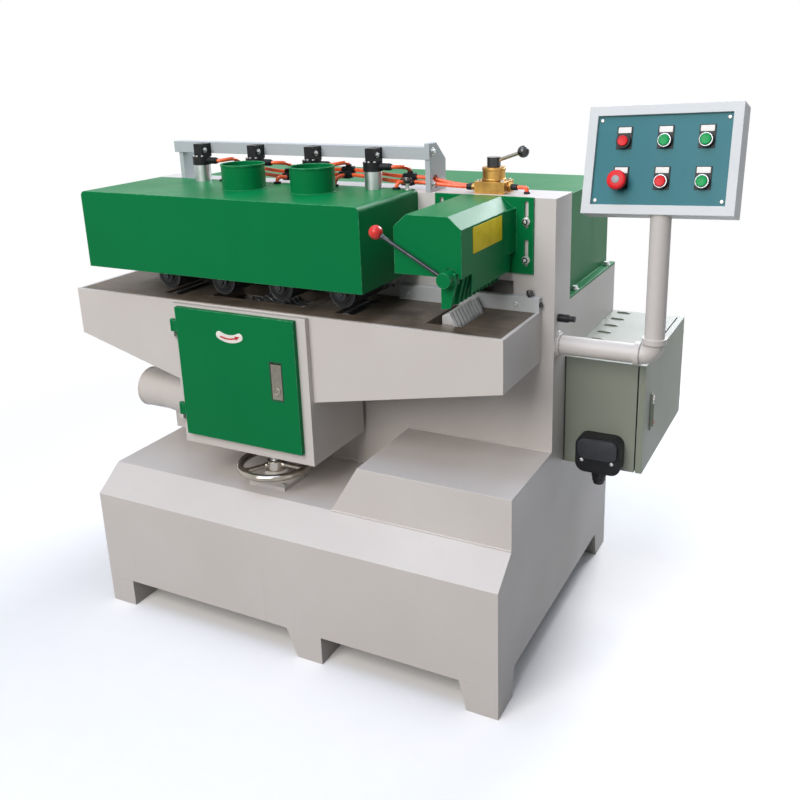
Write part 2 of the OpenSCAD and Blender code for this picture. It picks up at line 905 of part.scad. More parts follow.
// Hand valve: brass body, turning cap and lever
ring_z = column_top + valve_h;
knob_z = ring_z + valve_ring_h;
module valve_body() color("#b08a3e") placed() {
    slab(about(valve_x, valve_w), about(valve_y, valve_d), [column_top, ring_z]);
    rod_z(valve_ring_r, valve_x, valve_y, [ring_z - over, knob_z - gap]);
}
module valve_rod(r, from, to)
    translate([valve_x, valve_y, knob_z + knob_h / 2]) rotate([0, 90 - valve_rod_angle, 0])
        translate([0, 0, from]) cylinder(r = r, h = to - from);
module valve_lever() color("silver") placed() valve_rod(valve_rod_r, valve_seat, valve_rod_len);
module valve_knob() color("#16181a") placed() difference() {
    union() {
        rod_z(knob_r, valve_x, valve_y, [knob_z, knob_z + knob_h]);
        translate([valve_x, valve_y, knob_z + knob_h / 2]) rotate([0, 90 - valve_rod_angle, 0])
            translate([0, 0, valve_rod_len]) sphere(r = valve_ball_r);
    }
    valve_rod(valve_rod_r + fit, valve_seat, valve_rod_len);
}

// Air hoses: curved tubes from the valve to the tees and from the tees to the cylinder caps
tees = [for (i = [0 : press_count - 1])
    [press_xs[i] + tee_off, tee_y, column_top + tee_stand + (i + 1) % 2 * tee_step]];
flow_ends = [for (x = press_xs) [x + cap_r + flow_len, press_y, flow_z]];
drops = [for (p = tees) [p[0] - drop_left, drop_y, cover_top]];
valve_twin = [valve_x - valve_w / 2 - nipple_len, tee_y, column_top + port_stand];
valve_out = valve_twin + [0, twin_side, 0];
valve_in = [valve_x + valve_w / 2 + nipple_len, valve_y, column_top + port_stand];
valve_feed = [valve_in[0] + feed_reach, valve_y, column_top];
function curve_point(a, b, t) =
    pow(1 - t, 3) * a[0] + 3 * t * pow(1 - t, 2) * (a[0] + a[1])
    + 3 * t * t * (1 - t) * (b[0] + b[1]) + pow(t, 3) * b[0];
function curve_way(a, b, t) =
    let (d = pow(1 - t, 2) * a[1] + 2 * t * (1 - t) * (b[0] + b[1] - a[0] - a[1]) - t * t * b[1])
    d / norm(d);
module hose(a, b, steps) {
    rings = [for (i = [0 : steps])
        let (c = curve_point(a, b, i / steps), d = curve_way(a, b, i / steps),
             s0 = cross(d, hose_side), s = s0 / norm(s0), t = cross(s, d))
        for (k = [0 : hose_sides - 1]) let (turn = 360 * k / hose_sides)
            c + hose_r * (cos(turn) * s + sin(turn) * t)];
    sides = [for (i = [0 : steps - 1], k = [0 : hose_sides - 1])
        let (p = i * hose_sides + k, q = i * hose_sides + (k + 1) % hose_sides)
        each [[p, p + hose_sides, q], [q, p + hose_sides, q + hose_sides]]];
    last = steps * hose_sides;
    caps = [for (k = [1 : hose_sides - 2]) each [[0, k, k + 1], [last, last + k + 1, last + k]]];
    polyhedron(points = rings, faces = concat(sides, caps));
}
module air_hoses() color("#f2602a") placed() {
    half = [tee_len / 2, 0, 0];
    end = press_count - 1;
    hose([valve_out, [-hose_reach, 0, 0]], [tees[end] + half, [hose_reach, 0, 0]], 8);
    hose([valve_in, [feed_reach, 0, 0]], [valve_feed, [0, 0, feed_rise]], 5);
    for (i = [1 : end])
        hose([tees[i] - half, [-line_reach, 0, 0]], [tees[i - 1] + half, [line_reach, 0, 0]], 6);
    for (i = [0 : end])
        hose([tees[i] + [0, 0, tee_w / 2], [0, 0, branch_rise]], [flow_ends[i], [branch_reach, 0, 0]], 6);
    hose([valve_twin, [-hose_reach, 0, 0]], [tees[end] + half + twin_drop, [hose_reach, 0, 0]], 8);
    for (i = [1 : end])
        hose([tees[i] - half + twin_drop, [-line_reach, 0, 0]],
             [tees[i - 1] + half + twin_drop, [line_reach, 0, 0]], 6);
    for (i = [0 : end])
        hose([tees[i] + twin_drop - [0, tee_w / 2, 0], [0, -drop_reach, 0]],
             [drops[i], [0, 0, drop_rise]], 6);
}
module air_fittings() color("#1c1c1e") placed() {
    for (x = press_xs) cylinder_cap(x);
    for (p = tees, q = [p, p + twin_drop])
        slab(about(q[0], tee_len), about(q[1], tee_w), about(q[2], tee_w));
    for (p = drops) difference() {
        rod_z(drop_ring_r, p[0], p[1], [cover_top, cover_top + drop_ring_h]);
        rod_z(hose_r + drop_play, p[0], p[1], [cover_top - over, cover_top + drop_ring_h + over]);
    }
    for (p = [valve_out, valve_twin]) rod_x(nipple_r, [p[0], p[0] + nipple_len], p[1], p[2]);
    rod_x(nipple_r, [valve_in[0] - nipple_len, valve_in[0]], valve_in[1], valve_in[2]);
}

// Saw arbor, blades and bearing
module bearing_housing() color("#7d8286") placed() difference() {
    union() {
        rod_y(bearing_flange_r, arbor_x, [column_front - bearing_flange_t, column_front], arbor_z);
        rod_y(bearing_r, arbor_x, [column_front - over, column_back + plate_t], arbor_z);
    }
    rod_y(arbor_r + fit, arbor_x, [column_front - bearing_flange_t - over, column_back + plate_t + over],
          arbor_z);
}
module pulley(x, z, r) {
    rod_y(r, x, [pulley_y, pulley_y + pulley_w], z);
    for (i = [0 : belt_count]) let (y = pulley_y + i * (groove_w + rib_w))
        rod_y(r + rib_h, x, [y, y + rib_w], z);
}
module arbor() color("#9da2a6") placed() {
    clamp_y = last_blade_y;
    nut_y = first_blade_y - clamp_w - arbor_nut_w;
    rod_y(arbor_r, arbor_x, [clamp_y, pulley_y + over], arbor_z);
    rod_y(clamp_r, arbor_x, [clamp_y, clamp_y + clamp_w], arbor_z);
    rod_y(sleeve_r, arbor_x, [first_blade_y - clamp_w, clamp_y + over], arbor_z);
    for (i = [0 : blade_count - 2]) let (y = first_blade_y + i * blade_pitch)
        rod_y(spacer_r, arbor_x, [y + blade_t, y + blade_pitch], arbor_z);
    rod_y(spacer_r, arbor_x, [first_blade_y - clamp_w, first_blade_y], arbor_z);
    translate([arbor_x, nut_y, arbor_z]) rotate([-90, 0, 0])
        cylinder(r = arbor_nut_r, h = arbor_nut_w + over, $fn = 6);
    rod_y(thread_r, arbor_x, [nut_y - thread_len, nut_y + over], arbor_z);
    pulley(arbor_x, arbor_z, arbor_pulley_r);
}
blade_points = [for (k = [0 : tooth_count - 1], tip = [0, 1])
    let (a = -360 * (k + tip * 0.25) / tooth_count, r = blade_r - tip * tooth_h)
    [arbor_x + r * cos(a), arbor_z + r * sin(a)]];
module saw_blades() color("#c3c6c8") placed() for (i = [0 : blade_count - 1])
    let (y = first_blade_y + i * blade_pitch) difference() {
        plate_xz(blade_points, [y, y + blade_t]);
        rod_y(sleeve_r + sleeve_gap, arbor_x, [y - over, y + blade_t + over], arbor_z);
    }
module motor_pulley() color("#8d9296") placed() {
    pulley(motor_x, motor_z, motor_pulley_r);
    rod_y(motor_shaft_r, motor_x, [pulley_y + pulley_w - over, motor_front - gap], motor_z);
}
module belt_outline(extra) hull() {
    translate([arbor_x, arbor_z]) circle(r = arbor_pulley_r + extra, $fn = 32);
    translate([motor_x, motor_z]) circle(r = motor_pulley_r + extra, $fn = 32);
}
module drive_belts() color("#202124") placed() for (i = [0 : belt_count - 1])
    let (groove_y = pulley_y + rib_w + i * (groove_w + rib_w))
    translate([0, groove_y + (groove_w + belt_w) / 2, 0]) rotate([90, 0, 0])
        linear_extrude(belt_w) difference() {
            belt_outline(belt_slack + belt_t);
            belt_outline(belt_slack);
        }
module motors() color("#5f6a70") placed() {
    foot_y = [motor_front + 2 * motor_foot_t, motor_front + motor_len - 2 * motor_foot_t];
    rod_y(motor_r, motor_x, [motor_front, motor_front + motor_len], motor_z);
    slab(about(motor_x, motor_foot_w), foot_y, [base_top, base_top + motor_foot_t]);
    for (side = [-1, 1])
        slab(about(motor_x + side * motor_foot_w / 4, motor_foot_t), foot_y, [base_top, motor_z]);
    slab([gear_x, gear_x + gear_w], [column_back, column_back + gear_d], [gear_z, gear_z + gear_h]);
    rod_x(feed_motor_r, [gear_x + gear_w - over, gear_x + gear_w + feed_motor_len],
          column_back + gear_d / 2, gear_z + gear_h / 2);
}

// Cabinet, its door and lock, and the supply inlets: power connector and air coupling
module cabinet_barrel(z) {
    rod_z(barrel_r, barrel_x, barrel_y, z);
    slab([cabinet_x1 - 2 * barrel_r, barrel_x], [cabinet_back, cabinet_back + cabinet_t], z);
    slab([cabinet_x1 - 2 * barrel_r, cabinet_x1], [cabinet_back - over, cabinet_back + cabinet_t], z);
}
module cabinet() color("#9fb0a6") placed() {
    difference() {
        slab([base_len, cabinet_x1], [cabinet_front, cabinet_back],
             [cabinet_bottom, cabinet_bottom + cabinet_h]);
        slab([base_len + cabinet_t, cabinet_x1 + over],
             [cabinet_front + cabinet_t, cabinet_back - cabinet_t],
             [cabinet_bottom + cabinet_t, cabinet_bottom + cabinet_h - cabinet_t]);
    }
    for (share = barrel_shares) let (z = cabinet_bottom + share * cabinet_h) {
        cabinet_barrel([z, z + barrel_len / 2 - gap]);
        rod_z(barrel_pin_r, barrel_x, barrel_y, [z, z + barrel_len]);
    }
}
module cabinet_door() color("#9fb0a6") placed() {
    outer = [cabinet_door_x, cabinet_door_x + cabinet_door_t];
    difference() {
        slab(outer, [cabinet_front, cabinet_back], [cabinet_bottom, cabinet_bottom + cabinet_h]);
        slab([outer[0] - over, outer[1] - cabinet_t],
             [cabinet_front + cabinet_t, cabinet_back - cabinet_t],
             [cabinet_bottom + cabinet_t, cabinet_bottom + cabinet_h - cabinet_t]);
        rod_x(cabinet_spindle_r + fit, [outer[1] - cabinet_t - over, outer[1] + over],
              cabinet_lock_y, cabinet_lock_z);
    }
    for (share = barrel_shares) let (z = cabinet_bottom + share * cabinet_h + barrel_len / 2) difference() {
        union() {
            rod_z(barrel_r, barrel_x, barrel_y, [z, z + barrel_len / 2]);
            slab([barrel_x, outer[1]], [cabinet_back - over, cabinet_back + cabinet_t],
                 [z, z + barrel_len / 2]);
        }
        rod_z(barrel_pin_r + fit, barrel_x, barrel_y, [z - over, z + barrel_len / 2 + over]);
    }
}
module cabinet_lock() color("#2a2d2f") placed() {
    face = cabinet_door_x + cabinet_door_t + gap;
    slab([face, face + cabinet_lock_t], about(cabinet_lock_y, cabinet_lock_w),
         about(cabinet_lock_z, cabinet_lock_h));
    rod_x(cabinet_spindle_r, [face - cabinet_spindle_len, face + over], cabinet_lock_y, cabinet_lock_z);
}
module supply_inlets() color("#202124") placed() {
    x = [connector_x, connector_x + connector_w];
    top = connector_z + connector_h;
    face = cabinet_front - connector_d;
    plate_xz(rounded(x, [connector_z, top], connector_r), [face, cabinet_front]);
    plate_xz(rounded([x[0] + connector_lid_in, x[1] - connector_lid_in],
                     [top - connector_lid_h, top - connector_lid_t], lid_r),
             [face - connector_lid_t, face + over]);
    rod_z(gland_r, connector_x + connector_w / 2, cabinet_front - connector_d / 2,
          [connector_z - gland_h, connector_z + over]);
    inlet_x = base_len + inlet_len;
    rod_x(inlet_r, [base_len, inlet_x], inlet_y, inlet_z);
    rod_x(inlet_tip_r, [inlet_x - over, inlet_x + inlet_tip_len], inlet_y, inlet_z);
}

// Bent pipe that carries the control panel
module on_panel() translate([panel_x, panel_y, panel_z]) rotate([-panel_tilt, 0, panel_yaw])
    rotate([0, panel_roll, 0]) children();
module pipe_run(r) {
    rod_x(r, [base_len, pole_x - elbow_r], pole_y, pipe_z);
    translate([pole_x - elbow_r, pole_y, pipe_z + elbow_r]) rotate([90, 0, 0]) rotate([0, 0, -90])
        rotate_extrude(angle = 90) translate([elbow_r, 0]) circle(r = r);
    rod_z(r, pole_x, pole_y, [pipe_z + elbow_r, panel_z]);
}
module panel_pipe() color("#cbc5c0") placed() difference() {
    union() {
        pipe_run(pipe_r);
        rod_x(pipe_flange_r, [base_len, base_len + pipe_flange_t], pole_y, pipe_z);
        rod_x(collar_r, [pole_x - elbow_r - collar_w, pole_x - elbow_r], pole_y, pipe_z);
        rod_z(collar_r, pole_x, pole_y, [pipe_z + elbow_r, pipe_z + elbow_r + collar_w]);
    }
    pipe_run(pipe_r - pipe_t);
    on_panel() slab(about(0, 2 * panel_w), [-panel_w, panel_w], [-panel_h / 2, panel_w]);
}
module panel_box() color("#d3cdc8") placed() on_panel() difference() {
    inner = [panel_w - 2 * panel_border, panel_h - 2 * panel_border];
    seat = panel_recess + panel_plate_t;
    slab(about(0, panel_w), [0, panel_d], about(0, panel_h));
    slab(about(0, inner[0]), [-over, seat], about(0, inner[1]));
    slab(about(0, inner[0] - 2 * panel_lip), [seat - over, panel_d - panel_wall],
         about(0, inner[1] - 2 * panel_lip));
}
module panel_plate() color("#1f6a6d") placed() on_panel() difference() {
    slab(about(0, panel_w - 2 * panel_border - 2 * plate_gap), [panel_recess, panel_recess + panel_plate_t],
         about(0, panel_h - 2 * panel_border - 2 * plate_gap));
    for (x = button_xs, z = button_zs)
        rod_y(button_r + gap, x, [panel_recess - over, panel_recess + panel_plate_t + over], z);
}
bezel_face = panel_recess - holder_t - bezel_h;
module button_holder(x, z) difference() {
    union() {
        slab(about(x, holder_w), [panel_recess - holder_t, panel_recess],
             [z - holder_drop, z - holder_drop + holder_h]);
        rod_y(bezel_r, x, [bezel_face, panel_recess], z);
    }
    rod_y(button_r + gap, x, [bezel_face - over, panel_recess + over], z);
}
module button_holders() color("#1d1e20") placed() on_panel()
    for (x = button_xs, z = button_zs) button_holder(x, z);
module push_button(column, row, tint) color(tint) placed() on_panel()
    rod_y(button_r, button_xs[column], [bezel_face - button_proud, panel_recess + button_tail],
          button_zs[row]);
module button_red_upper() push_button(0, 1, "#d8342f");
module button_green_middle() push_button(1, 1, "#1f9a55");
module button_green_upper() push_button(2, 1, "#1f9a55");
module button_red_lower() push_button(1, 0, "#d8342f");
module button_green_lower() push_button(2, 0, "#1f9a55");
module emergency_stop() color("#c8322c") placed() on_panel() {
    x = button_xs[0];
    z = button_zs[0];
    rod_y(button_r, x, [bezel_face - stop_neck - over, panel_recess + button_tail], z);
    rod_y(stop_r, x, [bezel_face - stop_neck - stop_h, bezel_face - stop_neck], z);
}

// Table lift: pad on the deck, turning wheel, and the screw that hangs from the saw box
module screw_pad() color("silver") placed() difference() {
    union() {
        slab(about(screw_x, pad_w), about(screw_y, pad_d), [base_top, base_top + pad_h]);
        rod_z(pad_boss_r, screw_x, screw_y, [base_top, base_top + pad_h + pad_boss_h]);
    }
    rod_z(screw_r + gap, screw_x, screw_y, [base_top - over, hub_z + over]);
}
module handwheel() color("#c9ccce") placed() difference() {
    rim_z = hub_z + wheel_hub_h - rim_r;
    union() {
        rod_z(wheel_hub_r, screw_x, screw_y, [hub_z, hub_z + wheel_hub_h]);
        translate([screw_x, screw_y, rim_z]) {
            rotate_extrude() translate([wheel_r, 0]) circle(r = rim_r);
            for (i = [0 : spoke_count - 1]) rotate([0, 90, 120 * i]) cylinder(r = spoke_r, h = wheel_r);
        }
    }
    rod_z(screw_r + fit, screw_x, screw_y, [hub_z - over, hub_z + wheel_hub_h + over]);
}
module lift_screw() color("#a9adb0") placed() {
    rod_z(screw_r, screw_x, screw_y, [base_top - screw_below, box_bottom]);
    rod_z(screw_flange_r, screw_x, screw_y, [box_bottom - screw_flange_t, box_bottom]);
}

// Table plate with its openings, and the frame that holds it
module table_top() color("#5a4f45") placed() {
    plate_front = table_front + apron_t + gap;
    difference() {
        union() {
            slab([table_x0 + apron_t + gap, table_x1 - apron_t - gap], [plate_front, table_back],
                 [table_under, table_h]);
            for (x = idle_xs, y = [idle_end_y0, idle_y1 + idle_side])
                slab(about(x, idle_lug_w), [y, y + idle_lug_t],
                     [table_under - idle_lug_h, table_under + over]);
        }
        slab(about(arbor_x, slot_share * blade_r), [first_blade_y - clamp_w, last_blade_y + clamp_w],
             [table_under - over, table_h + over]);
        slab([comb_x0, comb_x1], [comb_y0, comb_y1], [table_under - over, table_h + over]);
        for (x = idle_xs) {
            slab(about(x, 2 * (idle_r + idle_play)), [idle_y0 - idle_play, idle_y1 + idle_play],
                 [table_under - over, table_h + over]);
            rod_y(idle_shaft_r + fit, x, [idle_end_y0, idle_end_y1], idle_z);
        }
    }
    rod_y(comb_pivot_r, comb_pivot_x, [comb_y0, comb_y1], comb_pivot_z);
}
module shoe(x) {
    z = [shoe_top - shoe_h, shoe_top];
    face = column_front - way_t - gap;
    slab(about(x, way_w + 2 * gap + 2 * shoe_t), [face - shoe_t, face], [z[0], strip_z + over]);
    for (side = [-1, 1])
        slab(ordered(x + side * (way_w / 2 + gap), x + side * (way_w / 2 + gap + shoe_t)),
             [face - over, column_front - gap], z);
}
module table_frame() color("#cfc9c5") placed() {
    back = column_front - way_t - gap;
    plate_xz([[table_x0, table_h - apron_end], [table_x0, table_h], [table_x1, table_h],
              [table_x1, table_h - apron_end], [box_x1, table_h - apron_mid], [box_x1, strip_z],
              [box_x, strip_z], [box_x, table_h - apron_mid]],
             [table_front, table_front + apron_t]);
    for (x = [table_x0, table_x1 - apron_t])
        slab([x, x + apron_t], [table_front, table_back], [table_h - apron_end, table_h]);
    slab([table_x0, table_x1], [back - shoe_t, back], [strip_z, table_under]);
    slab([table_x0, table_x1], [table_front, table_front + apron_t + ledge_d], [strip_z, table_under]);
    for (x = way_xs) shoe(x);
}
module fence() color("#c9c8c6") placed()
    slab([fence_x0, table_x1], [fence_y0, fence_y1], [table_h, table_h + fence_h]);
module lower_fingers() color("#a4aab0") placed() {
    pitch = (comb_y1 - comb_y0 - 2 * comb_margin - comb_t) / (comb_count - 1);
    points = [for (p = comb_shares)
        [comb_pivot_x + p[0] * comb_finger_w, comb_pivot_z + p[1] * comb_finger_len]];
    for (i = [0 : comb_count - 1]) let (y = comb_y0 + comb_margin + i * pitch) difference() {
        plate_xz(points, [y, y + comb_t]);
        rod_y(comb_pivot_r + fit, comb_pivot_x, [y - over, y + comb_t + over], comb_pivot_z);
    }
}
module lower_roller(i) color("#8b8f92") placed() {
    rod_y(idle_r, idle_xs[i], [idle_y0, idle_y1], idle_z);
    rod_y(idle_shaft_r, idle_xs[i], [idle_end_y0, idle_end_y1], idle_z);
}
module lower_roller_1() lower_roller(0);
module lower_roller_2() lower_roller(1);

// Saw box with its door frame, hinge lugs and dust outlet
module saw_box() color("#cbc6c2") placed() {
    front_top = door_z + door_h + box_t;
    seam = box_front + box_t + gap;
    difference() {
        slab([box_x, box_x1], [seam, column_front - way_t - over], [box_bottom, strip_z]);
        slab([box_x + box_t, box_x1 - box_t], [box_front, column_front], [box_bottom + box_t, table_h]);
        rod_x(port_r - port_t, [box_x - over, box_x + box_t + over], outlet_y, outlet_z);
    }
    difference() {
        union() {
            slab([box_x, box_x1], [box_front, box_front + box_t], [box_bottom, front_top]);
            slab([box_x, box_x1], [box_front, table_front], [strip_z + gap, front_top]);
        }
        slab([box_x + box_t, box_x1 - box_t], [box_front + box_t, table_front + over],
             [strip_z, door_z + door_h]);
        slab([door_x + door_lap, door_x + door_w - door_lap], [box_front - over, box_front + box_t + over],
             [door_z + door_lap, door_z + door_h - door_lap]);
    }
    for (share = knuckle_shares) let (z = door_z + share * door_h) {
        slab(about(hinge_x, 2 * knuckle_r), [hinge_y - knuckle_r, box_front + over],
             [z - 2 * knuckle_r, z - gap]);
        rod_z(door_pin_r, hinge_x, hinge_y, [z - gap - over, z + knuckle_len]);
    }
}
module dust_outlet() color("#c3bebb") placed() difference() {
    union() {
        rod_x(port_r, [box_x - outlet_len, box_x], outlet_y, outlet_z);
        translate([box_x - flare_len, outlet_y, outlet_z]) rotate([0, 90, 0])
            cylinder(r1 = port_r, r2 = port_r + flare_r, h = flare_len);
    }
    rod_x(port_r - port_t, [box_x - outlet_len - over, box_x + over], outlet_y, outlet_z);
}
module saw_door() color("#0f8043") placed() difference() {
    tray_w = lock_w + 2 * gap + 2 * lock_tray_t;
    pocket_z = [lock_z - lock_h / 2 - gap, lock_z + lock_h / 2 + lock_relief];
    pan_back = door_front + door_d;
    union() {
        difference() {
            slab([door_x, door_x + door_w], [door_front, pan_back], [door_z, door_z + door_h]);
            slab([door_x + sheet_t, door_x + door_w - sheet_t], [door_front + sheet_t, pan_back + over],
                 [door_z + sheet_t, door_z + door_h - sheet_t]);
        }
        slab(about(lock_x, tray_w), [door_front + sheet_t / 2, door_front + lock_tray_d],
             [pocket_z[0] - lock_tray_t, pocket_z[1] + lock_tray_t]);
        for (share = knuckle_shares) let (z = door_z + share * door_h) {
            rod_z(knuckle_r, hinge_x, hinge_y, [z, z + knuckle_len]);
            slab([hinge_x, door_x + over], about(hinge_y, knuckle_r), [z, z + knuckle_len]);
        }
    }
    slab(about(lock_x, lock_w + 2 * gap), [door_front - over, door_front + lock_tray_d - lock_tray_t],
         pocket_z);
    rod_x(lock_pin_r + fit, about(lock_x, tray_w), lock_pivot_y, lock_pivot_z);
    for (share = knuckle_shares) let (z = door_z + share * door_h)
        rod_z(door_pin_r + fit, hinge_x, hinge_y, [z - over, z + knuckle_len + over]);
}
lock_pivot_y = door_front + lock_t + lock_pin_r;
lock_pivot_z = lock_z + lock_h / 2 - 2 * lock_pin_r;
module door_lock() color("#d5d7d8") placed() {
    slab(about(lock_x, lock_w), [door_front, door_front + lock_t], about(lock_z, lock_h));
    rod_x(lock_pin_r, about(lock_x, lock_w + 2 * gap + 2 * lock_tray_t), lock_pivot_y, lock_pivot_z);
    slab(about(lock_x, lock_w), [door_front + lock_t / 2, lock_pivot_y],
         about(lock_pivot_z, 2 * lock_pin_r));
}

// Press slides with their piston rods, and the rollers that they carry
module press_slide(i) color("#767b7f") placed() {
    x = press_xs[i];
    ear_y = column_front - gap - slide_ear_t;
    z = [slide_bottom, slide_top];
    difference() {
        union() {
            slab(about(x, slide_w), [ear_y, column_front - gap], z);
            slab(about(x, slide_neck), [slide_front, ear_y + over], z);
        }
        rod_y(shaft_r + fit, x, [slide_front - over, column_front + over], roller_z);
    }
    rod_z(piston_rod_r, x, press_y, [slide_top - over, cylinder_z0 + cylinder_foot + gap + over]);
    rod_z(cylinder_r - cylinder_t - gap, x, press_y,
          [cylinder_z0 + cylinder_foot + gap, cylinder_z0 + cylinder_foot + gap + piston_h]);
}
module press_slide_1() press_slide(0);
module press_slide_2() press_slide(1);
module press_slide_3() press_slide(2);
module press_slide_4() press_slide(3);
module press_roller(i) color("#232427") placed() {
    x = press_xs[i];
    rod_y(roller_r, x, [roller_front, slide_front - roller_collar], roller_z);
    rod_y(roller_hub_r, x, [roller_front - roller_hub_t, slide_front - gap], roller_z);
    rod_y(shaft_r, x, [slide_front - gap - over, column_front + shaft_tail], roller_z);
}
module press_roller_1() press_roller(0);
module press_roller_2() press_roller(1);
module press_roller_3() press_roller(2);
module press_roller_4() press_roller(3);

// Infeed hood on its slotted plate, and the lever with the upper fingers
function hood_outline(t, low) = [
    [hood_x + t, low], [hood_x + t, hood_top - hood_bevel_h], [hood_x + hood_bevel_w, hood_top - t],
    [hood_x1 - hood_bevel_w, hood_top - t], [hood_x1 - t, hood_top - hood_bevel_h], [hood_x1 - t, low]
];
module plate_slot(x, z) {
    y = [hood_plate_front - over, hood_plate_back + over];
    for (end = [slot_r, slot_len - slot_r]) rod_y(slot_r, x, y, z - bolt_seat + end);
    slab(about(x, 2 * slot_r), y, [z - bolt_seat + slot_r, z - bolt_seat + slot_len - slot_r]);
}
module finger_lug(y) difference() {
    slab(about(pivot_x, lug_w), y, [pivot_z - lug_drop, pivot_z + lug_rise]);
    rod_y(finger_shaft_r + fit, pivot_x, [y[0] - over, y[1] + over], pivot_z);
}
module infeed_hood() color("#0e8343") placed() {
    difference() {
        plate_xz(hood_outline(0, hood_bottom), [hood_front, hood_plate_front + over]);
        plate_xz(hood_outline(sheet_t, hood_bottom - over),
                 [hood_front + sheet_t, hood_plate_front + 2 * over]);
        rod_y(boss_r + over, pivot_x, [hood_front - over, hood_front + sheet_t + over], pivot_z);
    }
    difference() {
        slab([hood_plate_x0, hood_plate_x1], [hood_plate_front, hood_plate_back],
             [hood_plate_z0, hood_top]);
        for (x = [hood_plate_x0 + bolt_in, hood_plate_x1 - bolt_in], z = bolt_zs) plate_slot(x, z);
    }
    slab([hood_x1 - sheet_t, hood_x1], [flap_y0, flap_y1], [hood_bottom - flap_h, hood_bottom + over]);
    finger_lug([hood_front + sheet_t / 2, hood_front + sheet_t + lug_t]);
    finger_lug([hood_plate_front - lug_t, hood_plate_front + over]);
    translate([0, 0, hood_bottom]) linear_extrude(hood_h - hood_bevel_h)
        polygon([[hood_x1 - over, hood_plate_front - flare_d], [hood_x1, hood_plate_front - flare_d],
                 [hood_x1 + flare_w, hood_plate_front + over], [hood_x1 - over, hood_plate_front + over]]);
}
module lever_rod(r, from, to)
    translate([pivot_x, lever_y, pivot_z]) rotate([0, -90 + lever_angle, 0])
        translate([0, 0, from]) cylinder(r = r, h = to - from);
module upper_fingers() color("#0e7a3e") placed() difference() {
    points = [for (p = finger_shares) [pivot_x + p[0] * finger_w, pivot_z + p[1] * finger_len]];
    union() {
        rod_y(boss_r, pivot_x, [boss_y0, hood_front - gap], pivot_z);
        rod_y(finger_shaft_r, pivot_x, [boss_y0, hood_plate_front - gap], pivot_z);
        plate_xz(points, [front_finger_y, front_finger_y + finger_t]);
        for (i = [0 : finger_count - 1]) let (y = finger_y0 + i * finger_gap_y)
            plate_xz(points, [y, y + finger_t]);
    }
    lever_rod(lever_r + fit, lever_seat, lever_len);
}
module guard_lever() color("#8e9397") placed() lever_rod(lever_r, lever_seat, lever_len);
module lever_ball() color("#d23a35") placed() difference() {
    translate([pivot_x, lever_y, pivot_z]) rotate([0, -90 + lever_angle, 0])
        translate([0, 0, lever_len]) sphere(r = lever_ball_r);
    lever_rod(lever_r + fit, lever_seat, lever_len);
}

base();
raised_deck();
feet();
column();
rear_housing();
rear_hood();
cover_bolts();
top_cover();
air_cylinders();
cross_beam();
valve_body();
air_fittings();
air_hoses();
bearing_housing();
motors();
drive_belts();
cabinet();
supply_inlets();
panel_pipe();
panel_box();
panel_plate();
button_holders();
screw_pad();
table_top();
table_frame();
saw_box();
dust_outlet();
fence();
lift_screw();
saw_door();
door_lock();
handwheel();
arbor();
saw_blades();
motor_pulley();
press_slide_1();
press_slide_2();
press_slide_3();
press_slide_4();
press_roller_1();
press_roller_2();
press_roller_3();
press_roller_4();
lower_roller_1();
lower_roller_2();
infeed_hood();
upper_fingers();
guard_lever();
lever_ball();
lower_fingers();
valve_lever();
valve_knob();
cabinet_door();
cabinet_lock();
button_red_upper();
button_green_middle();
button_green_upper();
button_red_lower();
button_green_lower();
emergency_stop();
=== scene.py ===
# %% [markdown]
# # Multi rip saw
# A multi rip saw cuts a wide board into many strips at once. Boards ride on an oiled iron table, four
# air pressed rollers drive them through, and a row of blades on one arbor cuts from below.
# The solids of the machine come from its CAD model. This lesson dresses them: it gives every surface the
# finish of the real material and adds the small parts that a maker would buy or weld on.

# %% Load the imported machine
import math
from collections import namedtuple

import bmesh
import bpy
from mathutils import Matrix, Vector


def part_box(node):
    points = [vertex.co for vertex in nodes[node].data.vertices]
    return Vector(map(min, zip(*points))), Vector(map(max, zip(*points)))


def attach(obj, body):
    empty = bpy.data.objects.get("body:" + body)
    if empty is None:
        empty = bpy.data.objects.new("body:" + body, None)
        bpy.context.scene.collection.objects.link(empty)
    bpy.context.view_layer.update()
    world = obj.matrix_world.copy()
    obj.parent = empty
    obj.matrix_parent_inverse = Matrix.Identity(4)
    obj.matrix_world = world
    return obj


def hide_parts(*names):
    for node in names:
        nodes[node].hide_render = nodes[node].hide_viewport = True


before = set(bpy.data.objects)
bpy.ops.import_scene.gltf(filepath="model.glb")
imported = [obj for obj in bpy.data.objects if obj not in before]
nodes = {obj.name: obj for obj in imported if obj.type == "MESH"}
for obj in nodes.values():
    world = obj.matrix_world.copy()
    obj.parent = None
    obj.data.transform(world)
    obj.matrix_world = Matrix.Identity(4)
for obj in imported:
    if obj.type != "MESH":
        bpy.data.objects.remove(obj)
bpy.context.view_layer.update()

# %% [markdown]
# ## Working in millimetres
# Machine drawings are in millimetres from one corner of the base, so the pieces here are too. One matrix
# turns a drawing point into Blender's metres: it moves the drawing's corner to the corner of the feet. A
# helper goes the other way: it reads the box of a CAD solid, to a tenth of a millimetre, so that a piece can
# be placed from what carries it. Six names stand for the machine's ways. Boards go in at the right end, and
# the operator stands at the front.

# %% From the drawing to the scene
MM = 0.001
RIGHT, BACK, UP = Vector((1, 0, 0)), Vector((0, 1, 0)), Vector((0, 0, 1))
LEFT, FRONT, DOWN = -RIGHT, -BACK, -UP
drawing = Matrix.Translation(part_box("feet")[0]) @ Matrix.Scale(MM, 4)
to_drawing = drawing.inverted()
Box = namedtuple("Box", "low high middle")


def box_of(name):
    low, high = (to_drawing @ Vector(corner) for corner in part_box(name))
    return Box(*(Vector([round(v, 1) for v in point]) for point in (low, high, (low + high) / 2)))


